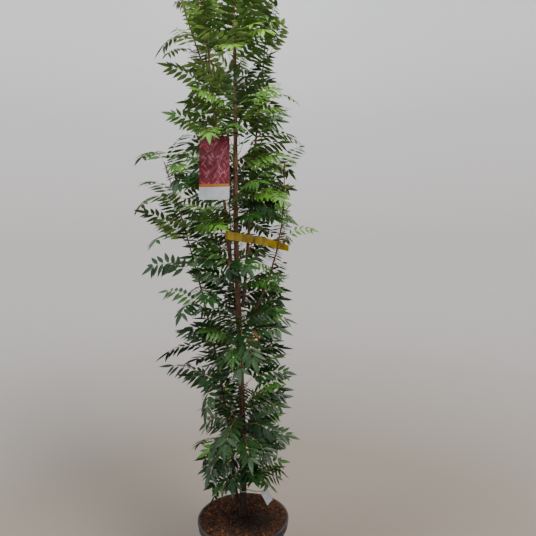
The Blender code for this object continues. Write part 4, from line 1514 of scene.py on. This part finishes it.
def makeCompost():
    materials = [
        soilMaterial("damp peat compost", compost["darkColour"], compost["midColour"], 3.0),
        soilMaterial("red peat crumb", compost["midColour"], compost["redColour"], 2.4),
        soilMaterial("dry peat crumb", compost["redColour"], compost["dryColour"], 2.4),
        soilMaterial("dry grass fibre", compost["dryColour"], compost["strawColour"], 4.0),
    ]
    chance = random.Random(compost["seed"])
    edge, rings, spokes = compost["edge"], compost["rings"], compost["spokes"]
    surface = newParts()
    vertices, faces = surface["vertices"], surface["faces"]
    vertices.append(Vector((0, 0, compostHeight(0, 0))))
    for ring in range(1, rings + 1):
        radius = edge * ring / rings
        for spoke in range(spokes):
            turn = 2 * math.pi * spoke / spokes
            x, y = radius * math.cos(turn), radius * math.sin(turn)
            vertices.append(Vector((x, y, compostHeight(x, y))))
    low, ledge = pot["floor"] + clearance, compost["ledge"]
    inside = [(edge, ledge)]
    inside += [(wallRadius(height) - pot["wall"] - clearance, height) for height in (ledge, low)]
    for radius, height in inside:
        for spoke in range(spokes):
            turn = 2 * math.pi * spoke / spokes
            vertices.append(Vector((radius * math.cos(turn), radius * math.sin(turn), height)))
    rings += len(inside) - 1
    for spoke in range(spokes):
        after = (spoke + 1) % spokes
        faces.append([0, 1 + spoke, 1 + after])
        for ring in range(rings):
            inner, outer = 1 + ring * spokes, 1 + (ring + 1) * spokes
            faces.append([inner + spoke, outer + spoke, outer + after, inner + after])
    faces.append([1 + rings * spokes + spoke for spoke in reversed(range(spokes))])
    finished(meshPiece("compost_fill", surface, materials[:1]), "compost", "compost")
    crumbs, chips, fibres = newParts(), newParts(), newParts()
    small, large = compost["crumbSize"]
    for _ in range(compost["crumbs"]):
        x, y = scatterPlace(chance)
        size = small + (large - small) * chance.random() ** 2.6
        place = Vector((x, y, compostHeight(x, y) + size * 0.25))
        addCrumb(crumbs, place, size, chance, chance.choice((0, 0, 0, 1, 1, 2)))
    for _ in range(compost["chips"]):
        x, y = scatterPlace(chance)
        size = chance.uniform(*compost["chipSize"])
        place = Vector((x, y, compostHeight(x, y) + 0.0012))
        addChip(chips, place, size, chance, chance.choice((0, 1, 1, 2)))
    for _ in range(compost["fibres"]):
        x, y = scatterPlace(chance)
        along = heading(chance.uniform(0, 360), chance.uniform(-8, 22))
        length = chance.uniform(*compost["fibreLength"])
        side = along.cross(Vector((0, 0, 1))) * chance.uniform(-0.3, 0.3)
        points = []
        for k in range(5):
            share = k / 4 - 0.5
            point = Vector((x, y, 0)) + along * (length * share) + side * (length * (share**2))
            point.z = max(compostHeight(point.x, point.y) + 0.0006, ground - 0.006 + along.z * length * share)
            points.append(point)
        if max(point.xy.length for point in points) < edge - compost["bare"][1]:
            addTube(fibres, points, compost["fibreRadii"], 4, 0)
    finished(meshPiece("compost_crumbs", crumbs, materials[:3]), "compost")
    chipPiece = meshPiece("compost_chips", chips, materials[:3])
    smoothEdges(chipPiece, 30)
    finished(chipPiece, "compost")
    fibres["uvs"].clear()  # their material has no use for a map
    finished(meshPiece("compost_fibres", fibres, materials[3:]), "compost")


makeCompost()
print("compost done")

# Labels: a printed hang tag and a small pot label on plastic ties, and a yellow tape round the three stems
hangTag = {
    "limb": "bough_left",
    "height": 1.252,
    "top": (-0.067, -0.058, 1.485),
    "foot": (-0.070, -0.062, 1.297),
    "side": (0.98, -0.16, 0.08),
    "width": 0.095,
    "corner": 0.005,
    "thickness": 0.0006,
    "bow": 0.0022,  # how far the card curls towards its free corners
    "bandTop": 0.205,  # of the plain panel, as a share of the card's height
    "stripeTop": 0.255,
    "streakMm": 5.5,
    "brushLeans": (-38, 34),
    "brushStretch": 0.22,
    "wineColour": "#4C0416",
    "crimsonColour": "#7C0822",
    "pinkColour": "#942C46",
    "paleColour": "#A87082",
    "amberColour": "#B06C24",
    "plainColour": "#B8BEC6",
}
potLabel = {
    "limb": "trunk",
    "height": 0.085,
    "top": (0.067, 0.035, 0.331),
    "foot": (0.088, 0.068, 0.268),
    "side": (0.74, 0.66, 0.08),
    "width": 0.027,
    "corner": 0.003,
    "thickness": 0.0005,
    "bow": 0.0012,
}
tie = {
    "width": 0.0035,
    "thickness": 0.0008,
    "sides": 28,
    "holeDrop": 0.0065,
    "holeRadius": 0.0026,
    "holeSides": 20,
    "slack": 0.24,  # of its sag over its length
    "steps": 14,
    "eye": (0.0038, 0.0022),  # of the loop through the hole, tall and deep
    "colour": "#8E9586",
}
tape = {
    "height": 1.182,
    "slope": -0.19,
    "width": 0.026,
    "room": 0.0025,
    "lap": 0.010,
    "tail": ((0.044, 0.004, 0.008, 6), (0.088, 0.008, 0.020, 22), (0.125, 0.012, 0.031, 44)),
    "tailSteps": 10,
    "hoopSides": 12,
    "ripple": 0.0007,
    "creaseAndShadowMm": 16,
    "thickness": 0.0005,
    "stepMm": 3.0,
    "colour": "#CDB020",
    # painted shadow of the leaves that hang over the tape
    "paintedLeafShadowColour": "#9E8016",
}


def tagPrint():
    # laminated printed card: glossy, with brush marks in pink and crimson that cross on a wine ground
    material, tree, shader = newMaterial("laminated crimson print", 0.3, 1.5)
    place = objectPlace(tree)
    layers = []
    for lean in hangTag["brushLeans"]:
        turned = addNode(tree, "ShaderNodeMapping", {"Rotation": (0, math.radians(lean), 0), "Vector": place})
        drawn = {"Scale": (1, 1, hangTag["brushStretch"]), "Vector": turned.outputs["Vector"]}
        streaks = {
            "Scale": 1000 / hangTag["streakMm"],
            "Detail": 2,
            "Roughness": 0.5,
            "Distortion": 0.4,
            "Vector": addNode(tree, "ShaderNodeMapping", drawn).outputs["Vector"],
        }
        layers.append(addNode(tree, "ShaderNodeTexNoise", streaks).outputs["Fac"])
    stops = [(0.46, hangTag["wineColour"]), (0.55, hangTag["crimsonColour"])]
    stops += [(0.62, hangTag["pinkColour"]), (0.70, hangTag["paleColour"])]
    tree.links.new(ramp(tree, reckoned(tree, "MAXIMUM", *layers), stops), shader.inputs["Base Color"])
    shader.inputs["Coat Weight"].default_value = 0.35
    shader.inputs["Coat Roughness"].default_value = 0.2
    return material


def plainCard(name, colour, sizeMm):  # matt coated card with a faint mottle
    material, tree, shader = newMaterial(name, 0.42, 1.48)
    tone = noiseField(tree, sizeMm, 3)
    stops = [(0.35, shaded(colour, 0.93)), (0.65, shaded(colour, 1.03))]
    tree.links.new(ramp(tree, tone, stops), shader.inputs["Base Color"])
    return material


def cutAcross(axis, places):  # cuts the selected mesh at each place along an axis of its own
    normal = tuple(1.0 if k == axis else 0.0 for k in range(3))
    for place in places:
        bpy.ops.mesh.select_all(action="SELECT")
        bpy.ops.mesh.bisect(plane_co=tuple(place * n for n in normal), plane_no=normal)


def makeCard(name, plan, slot, materials, panelOf, node):
    top, foot = Vector(plan["top"]), Vector(plan["foot"])
    up = (top - foot).normalized()
    side = Vector(plan["side"])
    side = (side - up * side.dot(up)).normalized()
    tall, wide = (top - foot).length, plan["width"]
    deselectAll()
    bpy.ops.mesh.primitive_plane_add(size=1, location=(0, 0, 0))
    card = bpy.context.object
    card.scale = (wide, tall, 1)
    bpy.ops.object.transform_apply(scale=True)
    bpy.ops.object.mode_set(mode="EDIT")
    bpy.ops.mesh.select_all(action="SELECT")
    bpy.ops.mesh.bevel(offset=plan["corner"], segments=6, affect="VERTICES")
    cutAcross(0, [wide * (k / 12 - 0.5) for k in range(1, 12)])
    cutAcross(1, [tall * (k / 20 - 0.5) for k in range(1, 20)])
    if name == "hang_tag_card":
        cutAcross(1, [tall * (plan[edge] - 0.5) for edge in ("bandTop", "stripeTop")])
    bpy.ops.object.mode_set(mode="OBJECT")
    for material in materials:
        card.data.materials.append(material)
    for polygon in card.data.polygons:
        polygon.material_index = panelOf(polygon.center.y / tall + 0.5)
    for vertex in card.data.vertices:
        x, y = vertex.co.x / wide, vertex.co.y / tall
        vertex.co.z = plan["bow"] * (4 * x * x - 1.4 * y + 0.8 * x * y)
    applyModifier(card, "SOLIDIFY", thickness=plan["thickness"], offset=0)
    pierce(card, (0, tall / 2 - tie["holeDrop"], 0), tie["holeRadius"], tie["holeSides"])
    smoothEdges(card, 30)
    turn = Matrix((side, up, side.cross(up))).transposed().to_4x4()
    card.matrix_world = Matrix.Translation(top.lerp(foot, 0.5)) @ turn
    finished(settled(card, name), slot, node)
    return side, up


def strip(parts, stations, thickness, closed=False):  # a flat band along (place, up, width) stations
    base, count = len(parts["vertices"]), len(stations)
    for i, (place, up, width) in enumerate(stations):
        ahead = stations[(i + 1) % count if closed else min(i + 1, count - 1)][0]
        behind = stations[i - 1 if closed else max(i - 1, 0)][0]
        through = (ahead - behind).cross(up).normalized() * (thickness / 2)
        rise = up.normalized() * (width / 2)
        parts["vertices"] += [place + through - rise, place + through + rise]
        parts["vertices"] += [place - through + rise, place - through - rise]
    for i in range(count - (not closed)):
        a, b = base + 4 * i, base + 4 * ((i + 1) % count)
        parts["faces"] += [[a + k, b + k, b + (k + 1) % 4, a + (k + 1) % 4] for k in range(4)]
    if not closed:
        last = base + 4 * (count - 1)
        parts["faces"] += [[base, base + 1, base + 2, base + 3], [last + 3, last + 2, last + 1, last]]


def bandPiece(name, parts, material, slot, *replaced):
    piece = meshPiece(name, parts, [material])
    faceOutward(piece)
    smoothEdges(piece, 35)
    finished(piece, slot, *replaced)


def makeTie(name, plan, side, up, material):
    place, along, radius = seatOn(plan["limb"], plan["height"])
    top, foot = Vector(plan["top"]), Vector(plan["foot"])
    around = along.cross(Vector((0, 1, 0))).normalized()
    radius += clearance + tie["thickness"]
    parts = newParts()
    ring = []
    for i in range(tie["sides"]):
        turn = Matrix.Rotation(2 * math.pi * i / tie["sides"], 3, along)
        ring.append((place + turn @ around * radius, along, tie["width"]))
    strip(parts, ring, tie["thickness"], closed=True)
    out = top - place
    start = place + (out - along * out.dot(along)).normalized() * radius
    hole = top.lerp(foot, tie["holeDrop"] / (top - foot).length)
    through = side.cross(up)
    stations = []
    sag = tie["slack"] * (start - hole).length
    for i in range(tie["steps"] + 1):
        share = i / tie["steps"]
        point = start.lerp(hole, share) - Vector((0, 0, sag * share * (1 - share)))
        stations.append((point, along.lerp(side, share), tie["width"]))
    strip(parts, stations, tie["thickness"])
    loop = []
    tall, deep = tie["eye"]
    for i in range(tie["sides"]):
        turn = 2 * math.pi * i / tie["sides"]
        point = hole + up * (tall * math.cos(turn) + deep) + through * (deep * math.sin(turn))
        loop.append((point, side, tie["width"] * 0.8))
    strip(parts, loop, tie["thickness"], closed=True)
    bandPiece(name, parts, material, "white_card")


def tapeHeight(x):
    return tape["height"] + tape["slope"] * x


def makeTape():
    hoops = []
    for limb in ("bough_left", "trunk", "bough_right"):
        place, _, radius = seatOn(limb, tape["height"] - ground)
        clear = (radius + tape["room"]) / math.cos(math.pi / tape["hoopSides"])
        for i in range(tape["hoopSides"]):
            turn = 2 * math.pi * i / tape["hoopSides"]
            hoops.append(place.xy + Vector((clear * math.cos(turn), clear * math.sin(turn))))
    hull = [hoops[i] for i in geometry.convex_hull_2d(hoops)]
    fine = []
    for a, b in zip(hull, hull[1:] + hull[:1]):
        steps = max(1, round((b - a).length * 1000 / tape["stepMm"]))
        fine += [a.lerp(b, k / steps) for k in range(steps)]
    stations = []
    for i, point in enumerate(fine):
        ripple = tape["ripple"] * noise.noise(Vector((point.x * 60, point.y * 60, 2.0)))
        place = Vector((point.x, point.y, tapeHeight(point.x) + ripple))
        stations.append((place, Vector((ripple * 40, ripple * 60, 1)), tape["width"]))
    parts = newParts()
    strip(parts, stations, tape["thickness"], closed=True)
    start = max(hull, key=lambda point: point.x - point.y)
    lap = start.x - tape["lap"]
    knots = [(Vector((lap, start.y - 0.0006, tapeHeight(lap))), 0.0)]
    for out, forward, drop, twist in tape["tail"]:
        knots.append((Vector((start.x + out, start.y - forward, tapeHeight(start.x) - drop)), twist))
    stations = []
    for k in range(len(knots) - 1):
        before, after = knots[max(k - 1, 0)], knots[min(k + 2, len(knots) - 1)]
        for i in range(tape["tailSteps"]):
            share = i / tape["tailSteps"]
            place = smoothed(before[0], knots[k][0], knots[k + 1][0], after[0], share)
            twist = smoothed(before[1], knots[k][1], knots[k + 1][1], after[1], share)
            up = Matrix.Rotation(math.radians(twist), 3, "X") @ Vector((0, 0, 1))
            stations.append((place, up, tape["width"]))
    up = Matrix.Rotation(math.radians(knots[-1][1]), 3, "X") @ Vector((0, 0, 1))
    stations.append((knots[-1][0], up, tape["width"]))
    strip(parts, stations, tape["thickness"])
    # polypropylene tape: satin and slightly see-through in life; one noise gives it handling creases in its
    # bump and, in its colour, darker patches that are painted shadow of the leaves
    material, tree, shader = newMaterial("yellow polypropylene tape", 0.36, 1.49)
    creasesAndShadows = noiseField(tree, tape["creaseAndShadowMm"], 4, (1, 1, 0.4))
    stops = [(0.36, tape["paintedLeafShadowColour"]), (0.6, tape["colour"])]
    tree.links.new(ramp(tree, creasesAndShadows, stops), shader.inputs["Base Color"])
    bumpFrom(tree, shader, creasesAndShadows, 1.0, 0.4)
    bandPiece("tape_label", parts, material, "yellow_card", "loop_label")


def smoothed(a, b, c, d, share):  # Catmull-Rom between b and c
    return 0.5 * (
        2 * b + (c - a) * share + (2 * a - 5 * b + 4 * c - d) * share**2 + (3 * b - a - 3 * c + d) * share**3
    )


def makeLabels():
    plain = plainCard("bare white card", hangTag["plainColour"], 30)
    amber = plainCard("amber printed card", hangTag["amberColour"], 12)
    tieMaterial = plainCard("clouded polyethylene tie", tie["colour"], 8)
    panels = [tagPrint(), amber, plain]

    def panelOf(share):
        return 2 if share < hangTag["bandTop"] else 1 if share < hangTag["stripeTop"] else 0

    side, up = makeCard("hang_tag_card", hangTag, "crimson_card", panels, panelOf, "hang_tag")
    makeTie("hang_tag_tie", hangTag, side, up, tieMaterial)
    side, up = makeCard("pot_label_card", potLabel, "white_card", [plain], lambda share: 0, "pot_label")
    makeTie("pot_label_tie", potLabel, side, up, tieMaterial)
    makeTape()


makeLabels()
print("labels done")
